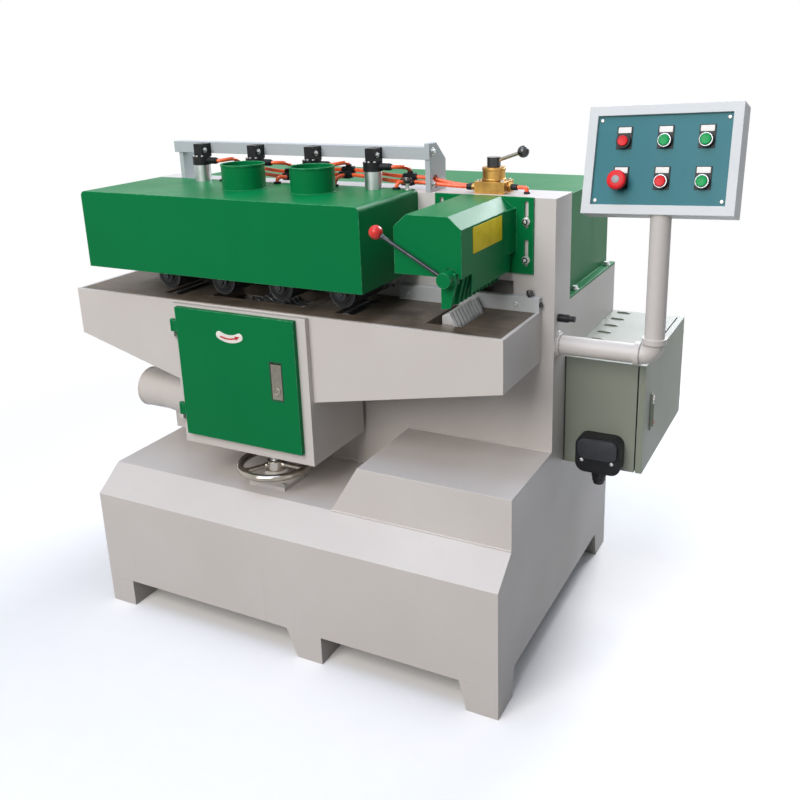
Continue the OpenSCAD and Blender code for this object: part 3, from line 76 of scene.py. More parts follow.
print("the table's top is", round(box_of("table_top").high.z), "mm high")
print("the drawing's corner lies at", [round(v, 4) for v in drawing.translation])

# %% [markdown]
# ## Camera
# The photograph was taken a little above the table, from the infeed end's front corner. The camera could be
# placed by eye, but straight edges in a photograph fix it: its place, three angles and the lens were worked
# out from them, and the frame is shifted because the picture was cropped off its middle.

# %% Place the camera
azimuth, elevation, roll = (math.radians(a) for a in (26.68, 17.37, -1.431))
camera_place = Vector((1688.0, -1456.8, 1355.2))
sensor_mm, lens_mm, shift_right, shift_up = 36, 40.29, -0.0392, -0.0826
ahead = Vector((-math.sin(azimuth) * math.cos(elevation), math.cos(azimuth) * math.cos(elevation),
                -math.sin(elevation)))
level = ahead.cross(UP).normalized()
above = level.cross(ahead)
right = level * math.cos(roll) + above * math.sin(roll)
upward = above * math.cos(roll) - level * math.sin(roll)
camera = bpy.data.objects.new("camera", bpy.data.cameras.new("camera"))
bpy.context.scene.collection.objects.link(camera)
turn = Matrix((right, upward, -ahead)).transposed().to_4x4()
camera.matrix_world = Matrix.Translation(drawing @ camera_place) @ turn
camera.data.sensor_width, camera.data.lens = sensor_mm, lens_mm
camera.data.shift_x, camera.data.shift_y = shift_right, shift_up
bpy.context.scene.camera = camera
print("camera looks", [round(v, 3) for v in ahead])

# %% [markdown]
# ## One way to add shader nodes
# A material is a small network. Adding a node, setting it and linking it are the same three steps every
# time, so one function does them. Colours are written as a painter would pick them, in sRGB hex, and one
# function turns them into the linear values that light is worked out in.

# %% Nodes and colours
def add(tree, kind, inputs=(), **settings):
    node = tree.nodes.new(kind)
    for key, value in settings.items():
        setattr(node, key, value)
    for key, value in dict(inputs).items():
        if isinstance(value, bpy.types.NodeSocket):
            tree.links.new(value, node.inputs[key])
        else:
            node.inputs[key].default_value = value
    return node


def linear(colour):
    parts = [int(colour[i:i + 2], 16) / 255 for i in (1, 3, 5)]
    return tuple(p / 12.92 if p <= 0.04045 else ((p + 0.055) / 1.055) ** 2.4 for p in parts) + (1.0,)


def per_metre(size_mm):
    return 1 / (size_mm * MM)


print("mid grey in linear light:", round(linear("#808080")[0], 3))

# %% [markdown]
# ## Studio
# A machine maker's catalogue shot has a white sweep and big soft lamps. The world gives a weak, cool
# half-light. The main lamp is large, slightly warm and stands far off at the front, so that fronts are
# bright and even. A weak, cool one overhead fills the tops, a weak one fills the right side, and one behind
# draws bright lines on the folds. To the camera, and in reflections, the world is plain white. The floor
# looks white too and keeps the machine's shadow, but it throws back only as much light as workshop concrete.
# A white floor that lit the machine from below would wash out the paint.

# %% World
scene = bpy.context.scene
scene.view_settings.view_transform = "Standard"
world = bpy.data.worlds.new("studio")
scene.world = world
world.use_nodes = True
tree = world.node_tree
tree.nodes.clear()


def seen_directly(tree):
    path = add(tree, "ShaderNodeLightPath")
    sharp = add(tree, "ShaderNodeMath", {0: path.outputs["Is Glossy Ray"],
                                         1: path.outputs["Is Transmission Ray"]}, operation="MAXIMUM")
    return add(tree, "ShaderNodeMath", {0: path.outputs["Is Camera Ray"], 1: sharp.outputs[0]},
               operation="MAXIMUM").outputs[0]


soft = add(tree, "ShaderNodeBackground", {"Color": linear("#DDE6F4"), "Strength": 0.17})
paper = add(tree, "ShaderNodeBackground", {"Color": (1, 1, 1, 1), "Strength": 1.0})
both = add(tree, "ShaderNodeMixShader", {0: seen_directly(tree), 1: soft.outputs[0], 2: paper.outputs[0]})
add(tree, "ShaderNodeOutputWorld", {"Surface": both.outputs[0]})
print("world:", world.name, "with", len(tree.nodes), "nodes")

# %% Floor
floor_radius, shadow_radius, white_radius, fibre_mm = 14, 0.9, 2.4, 60
sweep = bpy.data.materials.new("paper_sweep")
sweep.use_nodes = True
tree = sweep.node_tree
tree.nodes.clear()
spot = add(tree, "ShaderNodeTexCoord")
reach = add(tree, "ShaderNodeVectorMath", {0: spot.outputs["Object"]}, operation="LENGTH")
fade = add(tree, "ShaderNodeMapRange", {0: reach.outputs["Value"], 1: shadow_radius, 2: white_radius, 3: 0.0,
                                        4: 1.0}, interpolation_type="SMOOTHSTEP")
viewed = seen_directly(tree)
share = add(tree, "ShaderNodeMath", {0: fade.outputs[0], 1: viewed}, operation="MULTIPLY")
fibre = add(tree, "ShaderNodeTexNoise", {"Vector": spot.outputs["Object"], "Scale": per_metre(fibre_mm)})
tone = add(tree, "ShaderNodeMix", {0: fibre.outputs[0], 6: linear("#F6F6F5"), 7: linear("#F9F9F8")},
           data_type="RGBA")
tone = add(tree, "ShaderNodeMix", {0: viewed, 6: linear("#8C8B88"), 7: tone.outputs[2]}, data_type="RGBA")
matt = add(tree, "ShaderNodeBsdfDiffuse", {"Color": tone.outputs[2]})
white = add(tree, "ShaderNodeEmission", {"Color": (1, 1, 1, 1), "Strength": 1.0})
both = add(tree, "ShaderNodeMixShader", {0: share.outputs[0], 1: matt.outputs[0], 2: white.outputs[0]})
add(tree, "ShaderNodeOutputMaterial", {"Surface": both.outputs[0]})
ground = bmesh.new()
bmesh.ops.create_circle(ground, cap_ends=True, radius=floor_radius, segments=64)
mesh = bpy.data.meshes.new("floor")
ground.to_mesh(mesh)
ground.free()
floor = bpy.data.objects.new("floor", mesh)
mesh.materials.append(sweep)
scene.collection.objects.link(floor)
print("floor reaches", floor_radius, "m from the middle")


# %% Lamps
def lamp(name, place, aim, size, power, tint):
    light = bpy.data.lights.new(name, "AREA")
    light.size, light.energy, light.color = size, power, linear(tint)[:3]
    holder = bpy.data.objects.new(name, light)
    holder.location = place
    holder.rotation_euler = (Vector(aim) - Vector(place)).to_track_quat("-Z", "Y").to_euler()
    scene.collection.objects.link(holder)


lamp("overhead_lamp", (-0.4, -0.8, 3.7), (-0.1, -0.1, 0.6), 2.4, 60, "#CFDFFF")
lamp("front_lamp", (-0.5, -4.4, 3.6), (0, 0, 0.6), 3.4, 252, "#FFF9F4")
lamp("side_lamp", (2.6, 1.4, 3.7), (0.4, 0, 0.7), 2.4, 27, "#F2F5FF")
lamp("edge_lamp", (0.6, 3.2, 2.65), (0.2, 0, 0.9), 1.6, 145, "#F4F7FF")
print("studio has", len([o for o in scene.objects if o.type == "LIGHT"]), "lamps")

# %% [markdown]
# ## Painted steel
# The welded frame is steel plate under thick satin enamel, the covers are folded sheet under gloss enamel,
# and the cabinet has a fine textured powder coat. All are paint: a coloured body with a clear, slightly
# rippled skin. A flat colour would look like card. So the colour drifts a little over a hand's breadth,
# grime runs down in faint streaks, dust dulls what faces up, the edges are painted paler, partly as rubbed
# paint and partly as a painted highlight, and the skin ripples like orange peel. The ripple is two to four
# millimetres wide on a real machine. On the big sheets it is drawn wider and weaker, because finer would
# not show. Edges are rounded in shading by a Bevel node, as paint rounds them.

# %% Paint
def start(name, round_mm, samples=4):
    material = bpy.data.materials.new(name)
    material.use_nodes = True
    tree = material.node_tree
    tree.nodes.clear()
    where = add(tree, "ShaderNodeTexCoord").outputs["Object"]
    soft_edge = add(tree, "ShaderNodeBevel", {"Radius": round_mm * MM}, samples=samples).outputs[0]
    return material, tree, where, soft_edge


drift_mm, streak_mm, chip_mm, ripple_depth_mm = 220, 34, 12, 0.4


def paint(name, body, shade, edge_rub_and_highlight, roughness, ripple_mm, ripple, round_mm=1.6, shine=0.5, dust=0.08):
    material, tree, where, soft_edge = start(name, round_mm, 6)
    facing = add(tree, "ShaderNodeNewGeometry")
    drift = add(tree, "ShaderNodeTexNoise", {"Vector": where, "Scale": per_metre(drift_mm), "Detail": 2})
    drift = add(tree, "ShaderNodeMapRange", {0: drift.outputs[0], 1: 0.3, 2: 0.7, 3: 0.0, 4: 0.7})
    tall = add(tree, "ShaderNodeMapping", {"Vector": where, "Scale": (1, 1, 0.05)})
    streak = add(tree, "ShaderNodeTexNoise", {"Vector": tall.outputs[0], "Scale": per_metre(streak_mm),
                                              "Detail": 4})
    streak = add(tree, "ShaderNodeMapRange", {0: streak.outputs[0], 1: 0.5, 2: 0.8, 3: 0.0, 4: 0.6})
    grime = add(tree, "ShaderNodeMath", {0: drift.outputs[0], 1: streak.outputs[0]}, operation="MAXIMUM")
    colour = add(tree, "ShaderNodeMix", {0: grime.outputs[0], 6: linear(body), 7: linear(shade)},
                 data_type="RGBA")
    lift = add(tree, "ShaderNodeSeparateXYZ", {0: facing.outputs["Normal"]})
    settled = add(tree, "ShaderNodeMapRange", {0: lift.outputs[2], 1: 0.6, 2: 1.0, 3: 0.0, 4: dust})
    colour = add(tree, "ShaderNodeMix", {0: settled.outputs[0], 6: colour.outputs[2], 7: linear("#B9B2A8")},
                 data_type="RGBA")
    # The rub colour is painted on the edges in chips: partly rubbed paint, partly a painted highlight.
    turned = add(tree, "ShaderNodeVectorMath", {0: soft_edge, 1: facing.outputs["Normal"]},
                 operation="DOT_PRODUCT")
    edge_wear_and_highlight = add(tree, "ShaderNodeMapRange", {0: turned.outputs["Value"], 1: 0.99, 2: 0.9, 3: 0.0, 4: 0.6})
    chips = add(tree, "ShaderNodeTexNoise", {"Vector": where, "Scale": per_metre(chip_mm), "Detail": 3})
    chips = add(tree, "ShaderNodeMapRange", {0: chips.outputs[0], 1: 0.4, 2: 0.62, 3: 0.2, 4: 1.0})
    rubbed_and_highlit = add(tree, "ShaderNodeMath", {0: edge_wear_and_highlight.outputs[0], 1: chips.outputs[0]}, operation="MULTIPLY")
    colour = add(tree, "ShaderNodeMix", {0: rubbed_and_highlit.outputs[0], 6: colour.outputs[2], 7: linear(edge_rub_and_highlight)},
                 data_type="RGBA")
    gloss = add(tree, "ShaderNodeMapRange", {0: grime.outputs[0], 1: 0.0, 2: 0.7, 3: roughness,
                                             4: roughness + 0.08})
    peel = add(tree, "ShaderNodeTexNoise", {"Vector": where, "Scale": per_metre(ripple_mm), "Detail": 1})
    skin = add(tree, "ShaderNodeBump", {"Height": peel.outputs[0], "Strength": ripple,
                                        "Distance": ripple_depth_mm * MM, "Normal": soft_edge})
    surface = add(tree, "ShaderNodeBsdfPrincipled",
                  {"Base Color": colour.outputs[2], "Roughness": gloss.outputs[0], "IOR": 1.5,
                   "Specular IOR Level": shine, "Normal": skin.outputs[0]})
    add(tree, "ShaderNodeOutputMaterial", {"Surface": surface.outputs[0]})
    return material


print("paint drifts over", drift_mm, "mm, and its streaks are", streak_mm, "mm wide")

# %% Coats on this machine
# Satin machine enamel, sprayed over welded plate: warm light grey, soft wide highlights.
grey_enamel = paint("satin_enamel_grey", "#CAC6C2", "#C4BFBB", "#E4E2E0", roughness=0.38, ripple_mm=9,
                    ripple=0.05, shine=0.4, dust=0.05)
# The same grey enamel on the bolted beam, painted darker and cooler:
# painted shade and a painted cool reflection.
beam_enamel_painted_shade = paint("satin_enamel_grey_painted_shade", "#AFB5B8", "#A8AEB1", "#D8DCDE", roughness=0.36, ripple_mm=9,
                    ripple=0.05, round_mm=1.4, shine=0.35, dust=0.05)
# Gloss enamel on folded sheet: deep green with sharp highlights along every fold.
# Its pale green edge colour is a painted highlight.
green_enamel = paint("gloss_enamel_green", "#04723E", "#036D3B", "#7CD0A6", roughness=0.34, ripple_mm=20,
                     ripple=0.02, round_mm=2.4, shine=0.08, dust=0.0)
# Fine textured powder coat: matt grey-green, sparkles a little where light grazes it.
cabinet_coat = paint("textured_powder_coat", "#868C7F", "#7E8477", "#B4BAAE", roughness=0.46, ripple_mm=4,
                     ripple=0.3, round_mm=1.4, dust=0.12)
# Satin powder coat on the switch plate: dull teal.
teal_coat = paint("satin_powder_coat_teal", "#2C6F77", "#286870", "#4F98A0", roughness=0.4, ripple_mm=5,
                  ripple=0.1, round_mm=0.8, shine=0.2, dust=0.0)
# Light powder coat of the panel's box and the fence.
pale_coat = paint("satin_powder_coat_pale", "#C6CACA", "#BFC3C3", "#E4E6E6", roughness=0.4, ripple_mm=5,
                  ripple=0.1, round_mm=1.4, shine=0.35, dust=0.03)
# Satin enamel on motor castings: blue grey, with dust.
motor_enamel = paint("satin_enamel_blue_grey", "#5C6B76", "#4B5963", "#9AA6AE", roughness=0.42, ripple_mm=6,
                     ripple=0.3, dust=0.2)
print("paints:", [m.name for m in bpy.data.materials if "coat" in m.name or "enamel" in m.name])

# %% [markdown]
# ## Metals
# A metal has no colour of its own under the surface: what shows is its tinted mirror, made dull by how it
# was worked. Turning and grinding leave fine lines along one way, plating leaves almost none, casting leaves
# grains, and oil pools in streaks. So each metal here is a mirror whose roughness and bump follow lines or
# grains at the size that the tool left them, drawn a little coarser where they would not show.

# %% Metal
line_depth_mm = 0.3


def metal(name, bright, dull, roughness, spread, grain_mm, stretch, bump, round_mm=0.8, stain_mm=60,
          edge_wear_and_highlight=None):
    material, tree, where, soft_edge = start(name, round_mm)
    drawn = add(tree, "ShaderNodeMapping", {"Vector": where, "Scale": stretch})
    lines = add(tree, "ShaderNodeTexNoise", {"Vector": drawn.outputs[0], "Scale": per_metre(grain_mm),
                                             "Detail": 3})
    stain = add(tree, "ShaderNodeTexNoise", {"Vector": where, "Scale": per_metre(stain_mm), "Detail": 4})
    stain = add(tree, "ShaderNodeMapRange", {0: stain.outputs[0], 1: 0.38, 2: 0.66, 3: 0.0, 4: 1.0})
    mixed = add(tree, "ShaderNodeMath", {0: stain.outputs[0], 1: lines.outputs[0]}, operation="MULTIPLY")
    colour = add(tree, "ShaderNodeMix", {0: mixed.outputs[0], 6: linear(bright), 7: linear(dull)},
                 data_type="RGBA")
    # Edges get a paler colour: a painted highlight, and on blackened steel also its real worn edges.
    if edge_wear_and_highlight:
        flat = add(tree, "ShaderNodeNewGeometry").outputs["Normal"]
        turned = add(tree, "ShaderNodeVectorMath", {0: soft_edge, 1: flat}, operation="DOT_PRODUCT")
        turned = add(tree, "ShaderNodeMapRange", {0: turned.outputs["Value"], 1: 0.98, 2: 0.85, 3: 0.0,
                                                  4: 1.0})
        colour = add(tree, "ShaderNodeMix", {0: turned.outputs[0], 6: colour.outputs[2], 7: linear(edge_wear_and_highlight)},
                     data_type="RGBA")
    rough = add(tree, "ShaderNodeMapRange", {0: lines.outputs[0], 1: 0.3, 2: 0.7, 3: roughness,
                                             4: roughness + spread})
    relief = add(tree, "ShaderNodeBump", {"Height": lines.outputs[0], "Strength": bump,
                                          "Distance": line_depth_mm * MM, "Normal": soft_edge})
    surface = add(tree, "ShaderNodeBsdfPrincipled",
                  {"Base Color": colour.outputs[2], "Metallic": 1.0, "Roughness": rough.outputs[0],
                   "Normal": relief.outputs[0]})
    add(tree, "ShaderNodeOutputMaterial", {"Surface": surface.outputs[0]})
    return material


print("tool lines are", line_depth_mm, "mm deep")

# %% Metals on this machine
# Turned and ground steel: grey mirror with fine lines round the axis.
steel = metal("turned_steel", "#B4B6B8", "#7E7F80", roughness=0.26, spread=0.16, grain_mm=3,
              stretch=(1, 0.15, 1), bump=0.12)
# Hardened spring steel plates, ground: light grey, with a near-white painted highlight along the edges.
spring_steel = metal("spring_steel", "#CFCFD0", "#A6A8AC", roughness=0.34, spread=0.16, grain_mm=4,
                     stretch=(1, 1, 0.3), bump=0.1, round_mm=1.0, stain_mm=30, edge_wear_and_highlight="#F0F2F4")
# Steel blackened in hot oil: dark grey with worn edges. On the press rollers its darkness is painted shade.
blackened_and_shaded_steel = metal("steel_blackened_with_painted_shade", "#3C3F41", "#2A2C2E", roughness=0.3, spread=0.16, grain_mm=4,
                    stretch=(1, 1, 0.3), bump=0.1, stain_mm=30, edge_wear_and_highlight="#8A8D90")
# Chrome plate: nearly flawless mirror. Its tint is painted darker and warm, a painted reflection
# of dark, warm surroundings.
chrome = metal("painted_reflection_chrome", "#ABA59B", "#7E786E", roughness=0.08, spread=0.07, grain_mm=24,
               stretch=(1, 1, 1), bump=0.02, round_mm=1.2)
# Dull nickel on the door's lock: warm grey satin, darker than chrome.
nickel = metal("dull_nickel_plate", "#8F8B80", "#6B685F", roughness=0.36, spread=0.14, grain_mm=5,
               stretch=(1, 1, 0.3), bump=0.08)
# Zinc plated fasteners: pale grey with a grainy sheen.
zinc = metal("zinc_plate", "#C4C6C4", "#9A9C98", roughness=0.3, spread=0.15, grain_mm=4, stretch=(1, 1, 1),
             bump=0.15, round_mm=0.6)
# Anodised aluminium tube: light grey satin.
aluminium = metal("anodised_aluminium", "#C6C9CB", "#A9ADB0", roughness=0.32, spread=0.12, grain_mm=5,
                  stretch=(1, 1, 0.2), bump=0.1)
# Sand cast and machined brass: warm yellow with brown tarnish in the low places.
brass = metal("cast_brass", "#C79A55", "#7E5A30", roughness=0.3, spread=0.2, grain_mm=6, stretch=(1, 1, 1),
              bump=0.3, round_mm=1.0, stain_mm=22)
# Machined grey iron: dark, dense grain.
grey_iron = metal("machined_grey_iron", "#85878A", "#5B5C5E", roughness=0.4, spread=0.2, grain_mm=5,
                  stretch=(1, 1, 1), bump=0.3)
print("metals:", [m.name for m in bpy.data.materials][-9:])

# %% [markdown]
# ## The table's iron
# The table is ground cast iron, rubbed with oil and polished along the feed by thousands of boards. It is
# browner and darker than steel: oil and resin stain it, and long scratches follow the boards. A plain metal
# would be too clean, so stains of a few centimetres and scratches of a few millimetres, stretched along the
# feed, change both its colour and its gloss. Real scratches are finer, so these are drawn wider to show.

# %% Oiled iron
edge_mm, scratch_mm, pool_mm, scratch_depth_mm = 1.2, 4, 90, 0.2
table_iron, tree, where, soft_edge = start("oiled_cast_iron", edge_mm)
along = add(tree, "ShaderNodeMapping", {"Vector": where, "Scale": (0.03, 1, 1)})
scratch = add(tree, "ShaderNodeTexNoise", {"Vector": along.outputs[0], "Scale": per_metre(scratch_mm),
                                           "Detail": 6, "Roughness": 0.7})
pool = add(tree, "ShaderNodeTexNoise", {"Vector": where, "Scale": per_metre(pool_mm), "Detail": 6,
                                        "Roughness": 0.62, "Distortion": 0.4})
pool = add(tree, "ShaderNodeMapRange", {0: pool.outputs[0], 1: 0.36, 2: 0.66, 3: 0.0, 4: 1.0})
colour = add(tree, "ShaderNodeMix", {0: pool.outputs[0], 6: linear("#766B5F"), 7: linear("#4D453C")},
             data_type="RGBA")
line = add(tree, "ShaderNodeMapRange", {0: scratch.outputs[0], 1: 0.5, 2: 0.68, 3: 0.0, 4: 0.45})
colour = add(tree, "ShaderNodeMix", {0: line.outputs[0], 6: colour.outputs[2], 7: linear("#958B7E")},
             data_type="RGBA")
wet = add(tree, "ShaderNodeMapRange", {0: pool.outputs[0], 1: 0.0, 2: 1.0, 3: 0.58, 4: 0.4})
relief = add(tree, "ShaderNodeBump", {"Height": scratch.outputs[0], "Strength": 0.18,
                                      "Distance": scratch_depth_mm * MM, "Normal": soft_edge})
surface = add(tree, "ShaderNodeBsdfPrincipled",
              {"Base Color": colour.outputs[2], "Metallic": 0.1, "Roughness": wet.outputs[0],
               "Specular IOR Level": 0.25, "Normal": relief.outputs[0]})
add(tree, "ShaderNodeOutputMaterial", {"Surface": surface.outputs[0]})
print("table:", table_iron.name)

# %% [markdown]
# ## Plastics and rubber
# Knobs, fittings and buttons are moulded. Spark eroded moulds leave a fine, even grain on black parts,
# polished moulds leave buttons glassy, and extruded hose is smooth with faint draw lines. All have an IOR
# near 1.5. Grain below a millimetre is drawn at about two, so that it shows.

# %% Plastic
bloom_mm, grain_depth_mm, coat_roughness, glow_reach = 25, 0.15, 0.06, (0.004, 0.002, 0.001)


def plastic(name, body, worn, roughness, grain_mm, bump, shine=0.5, coat=0.0, round_mm=0.8, depth=0.0):
    material, tree, where, soft_edge = start(name, round_mm)
    cloud = add(tree, "ShaderNodeTexNoise", {"Vector": where, "Scale": per_metre(bloom_mm), "Detail": 4})
    cloud = add(tree, "ShaderNodeMapRange", {0: cloud.outputs[0], 1: 0.42, 2: 0.7, 3: 0.0, 4: 0.8})
    colour = add(tree, "ShaderNodeMix", {0: cloud.outputs[0], 6: linear(body), 7: linear(worn)},
                 data_type="RGBA")
    grain = add(tree, "ShaderNodeTexVoronoi", {"Vector": where, "Scale": per_metre(grain_mm)})
    rough = add(tree, "ShaderNodeMapRange", {0: cloud.outputs[0], 1: 0.0, 2: 0.8, 3: roughness,
                                             4: roughness + 0.12})
    relief = add(tree, "ShaderNodeBump", {"Height": grain.outputs["Distance"], "Strength": bump,
                                          "Distance": grain_depth_mm * MM, "Normal": soft_edge})
    surface = add(tree, "ShaderNodeBsdfPrincipled",
                  {"Base Color": colour.outputs[2], "Roughness": rough.outputs[0], "IOR": 1.5,
                   "Specular IOR Level": shine, "Normal": relief.outputs[0], "Coat Weight": coat,
                   "Coat Roughness": coat_roughness, "Subsurface Weight": depth,
                   "Subsurface Radius": glow_reach})
    add(tree, "ShaderNodeOutputMaterial", {"Surface": surface.outputs[0]})
    return material


print("bloom spreads over", bloom_mm, "mm")

# %% Plastics on this machine
# Moulded ABS, spark eroded grain: black with a dull bloom.
black_abs = plastic("moulded_abs_black", "#17181A", "#222325", roughness=0.38, grain_mm=2.2, bump=0.25,
                    shine=0.22)
# The same in charcoal, on the connector's lid.
charcoal_abs = plastic("moulded_abs_charcoal", "#34363A", "#3C3E42", roughness=0.42, grain_mm=2.2, bump=0.2,
                       shine=0.25)
# Phenolic, glossy moulded: the old kind of machine knob.
black_phenolic = plastic("phenolic_black", "#141415", "#222224", roughness=0.16, grain_mm=3, bump=0.05,
                         coat=0.4)
red_phenolic = plastic("phenolic_red", "#D8322C", "#C22B26", roughness=0.26, grain_mm=3, bump=0.05,
                       shine=0.3, coat=0.1)
# Push button caps, polished moulds: clear colour with a little depth.
red_cap = plastic("acrylic_red", "#D8272C", "#CC2328", roughness=0.34, grain_mm=3, bump=0.03, shine=0.2,
                  round_mm=0.6, depth=0.05)
green_cap = plastic("acrylic_green", "#0C9A52", "#0A9049", roughness=0.34, grain_mm=3, bump=0.03, shine=0.2,
                    round_mm=0.6, depth=0.05)
# Polyurethane air hose, extruded: orange, smooth, a little light goes into it.
hose_pu = plastic("polyurethane_hose", "#F4622A", "#EA5722", roughness=0.24, grain_mm=2.5, bump=0.05,
                  coat=0.2, round_mm=0.5, depth=0.08)
# Rubber of belts, tyres and seals: matt black with a grey bloom.
rubber = plastic("vulcanised_rubber", "#1B1B1C", "#303030", roughness=0.62, grain_mm=2.5, bump=0.5)
# Engraver's tag laminate, left blank: white with a faint grain.
tag_white = plastic("laminate_white", "#E4E2DC", "#D8D5CE", roughness=0.4, grain_mm=2.0, bump=0.1,
                    shine=0.3)
# The same laminate in yellow, left blank.
plate_yellow = plastic("laminate_yellow", "#E6CC14", "#D6BE12", roughness=0.45, grain_mm=2.5, bump=0.06,
                       shine=0.2)
# Red ink: the arrow on the white tag and the dot on the cabinet's lock.
ink_red = plastic("print_ink_red", "#C7302C", "#B32723", roughness=0.42, grain_mm=2.0, bump=0.05)
# Grey polyamide: the disc on the emergency stop.
grey_pa = plastic("polyamide_grey", "#8F9294", "#7D8082", roughness=0.4, grain_mm=2.0, bump=0.15)
print("plastics:", [m.name for m in bpy.data.materials][-12:])

# %% [markdown]
# ## Finish for each solid
# The CAD solids keep their shapes. Each gets the finish of the material that its maker would use.

# %% Dress the solids
finishes = {
    grey_enamel: "base raised_deck feet column rear_housing panel_pipe table_frame saw_box "
                 "dust_outlet screw_pad",
    beam_enamel_painted_shade: "cross_beam",
    green_enamel: "rear_hood top_cover saw_door infeed_hood upper_fingers",
    cabinet_coat: "cabinet cabinet_door cabinet_lock",
    teal_coat: "panel_plate",
    pale_coat: "panel_box fence",
    motor_enamel: "motors",
    table_iron: "table_top",
    grey_iron: "bearing_housing motor_pulley press_slide_1 press_slide_2 press_slide_3 press_slide_4",
    steel: "arbor saw_blades lower_roller_1 lower_roller_2 lift_screw",
    spring_steel: "lower_fingers",
    blackened_and_shaded_steel: "guard_lever",
    chrome: "handwheel valve_lever",
    nickel: "door_lock",
    zinc: "cover_bolts",
    aluminium: "air_cylinders",
    brass: "valve_body",
    black_abs: "air_fittings supply_inlets button_holders",
    black_phenolic: "valve_knob",
    red_phenolic: "lever_ball",
    rubber: "drive_belts press_roller_1 press_roller_2 press_roller_3 press_roller_4",
    hose_pu: "air_hoses",
    red_cap: "button_red_upper button_red_lower emergency_stop",
    green_cap: "button_green_middle button_green_upper button_green_lower",
}
for finish, names in finishes.items():
    for name in names.split():
        nodes[name].data.materials.clear()
        nodes[name].data.materials.append(finish)
bare = sorted(set(nodes) - {n for names in finishes.values() for n in names.split()})
print("solids without a finish:", bare)

# %% [markdown]
# ## Putting a piece on the machine
# Every small part below is a mesh built in millimetres. One function ends each of them: it carries the mesh
# from the drawing to the scene, gives it its finish, shades it smooth except at sharp edges, and makes it
# ride on the CAD body that carries it, so that it moves with its joint.

# %% Piece
def piece(name, bm, finish, body, slot, local=None, smooth=35):
    bmesh.ops.transform(bm, matrix=drawing @ (local or Matrix.Identity(4)), verts=bm.verts)
    bmesh.ops.recalc_face_normals(bm, faces=bm.faces)
    made = bpy.data.meshes.new(name)
    bm.to_mesh(made)
    bm.free()
    made.materials.append(finish)
    made.shade_smooth()
    made.set_sharp_from_angle(angle=math.radians(smooth))
    thing = bpy.data.objects.new(name, made)
    scene.collection.objects.link(thing)
    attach(thing, body)
    print("made", name, "with", len(made.polygons), "faces")
    return thing


print("one unit of the drawing is", round(drawing.to_scale()[0], 4), "m")

# %% [markdown]
# ## Lathe
# Most small parts of a machine are turned: screws, nuts, knobs, rims and collars. A Screw modifier could make
# them. Here one function spins a profile of radii and heights round an axis, because a point of the profile
# can then be marked as hexagonal, so that bolts, nuts and key sockets come off the same lathe.

# %% Lathe
def axes_for(axis):
    axis = Vector(axis).normalized()
    side = axis.orthogonal().normalized()
    return axis, side, axis.cross(side)


def reach_at(radius, shape, angle):
    if shape != "hex":
        return radius
    return radius * math.cos(math.pi / 6) / math.cos((angle + 1e-9) % (math.pi / 3) - math.pi / 6)


def lathe(bm, origin, axis, profile, sides=36):
    axis, side, cross = axes_for(axis)
    rings = []
    for radius, height, *shape in profile:
        middle = Vector(origin) + axis * height
        if radius == 0:
            rings.append([bm.verts.new(middle)])
            continue
        ring = []
        for k in range(sides):
            angle = 2 * math.pi * k / sides
            out = reach_at(radius, shape[0] if shape else "", angle)
            ring.append(bm.verts.new(middle + (side * math.cos(angle) + cross * math.sin(angle)) * out))
        rings.append(ring)
    for low, high in zip(rings, rings[1:]):
        for k in range(sides):
            after = k + 1
            quad = [low[k % len(low)], low[after % len(low)], high[after % len(high)], high[k % len(high)]]
            corners = list(dict.fromkeys(quad))
            if len(corners) > 2:
                bm.faces.new(corners)


print("a hexagon's flat lies at", round(reach_at(1, "hex", math.pi / 6), 3), "of its corner")

# %% [markdown]
# ## Air lines
# Two orange polyurethane hoses run side by side from the hand valve past four tees. One feeds the cylinders,
# the other drops into the cover. The CAD tube has eight sides, enough to hold its place. Here the same
# curves, a cubic from fitting to fitting that leaves each end straight, carry a round tube. A curve object
# would do as well; a mesh is the same wherever it goes.

# %% Hose routes
cylinder_xs = [box_of("press_slide_%d" % i).middle.x for i in (1, 2, 3, 4)]
cylinder_y = box_of("air_cylinders").middle.y
column_top = box_of("column").high.z
valve_box = box_of("valve_body")
valve = Vector((valve_box.middle.x, valve_box.middle.y, column_top + 13))
valve_reach = box_of("air_fittings").high.x - valve.x
tees = [Vector((x + 66, 352, 1091 + (i + 1) % 2 * 10)) for i, x in enumerate(cylinder_xs)]
flow_ends = [Vector((x + 44, cylinder_y, 1118)) for x in cylinder_xs]
half_tee = RIGHT * 13
beside = Vector((0, -13, -10))
routes = [(valve + RIGHT * valve_reach, RIGHT * 26, Vector((1009, valve.y, column_top)), UP * 16)]
for shift, valve_y in ((Vector(), 368), (beside, 352)):
    start_at = Vector((valve.x - valve_reach, valve_y, valve.z))
    routes.append((start_at, LEFT * 60, tees[3] + half_tee + shift, RIGHT * 60))
    routes += [(tees[i] - half_tee + shift, LEFT * 50, tees[i - 1] + half_tee + shift, RIGHT * 50)
               for i in (1, 2, 3)]
routes += [(tee + UP * 8, UP * 16, end, RIGHT * 30) for tee, end in zip(tees, flow_ends)]
routes += [(tee + beside + FRONT * 8, FRONT * 16, Vector((tee.x - 12, 306, 1068)), UP * 22) for tee in tees]
print("hoses:", len(routes))


# %% Hoses and their collars
def curve(a, out_a, b, out_b, steps=26):
    for k in range(steps + 1):
        t = k / steps
        yield (a * (1 - t) ** 3 + (a + out_a) * 3 * t * (1 - t) ** 2 + (b + out_b) * 3 * t * t * (1 - t)
               + b * t ** 3)


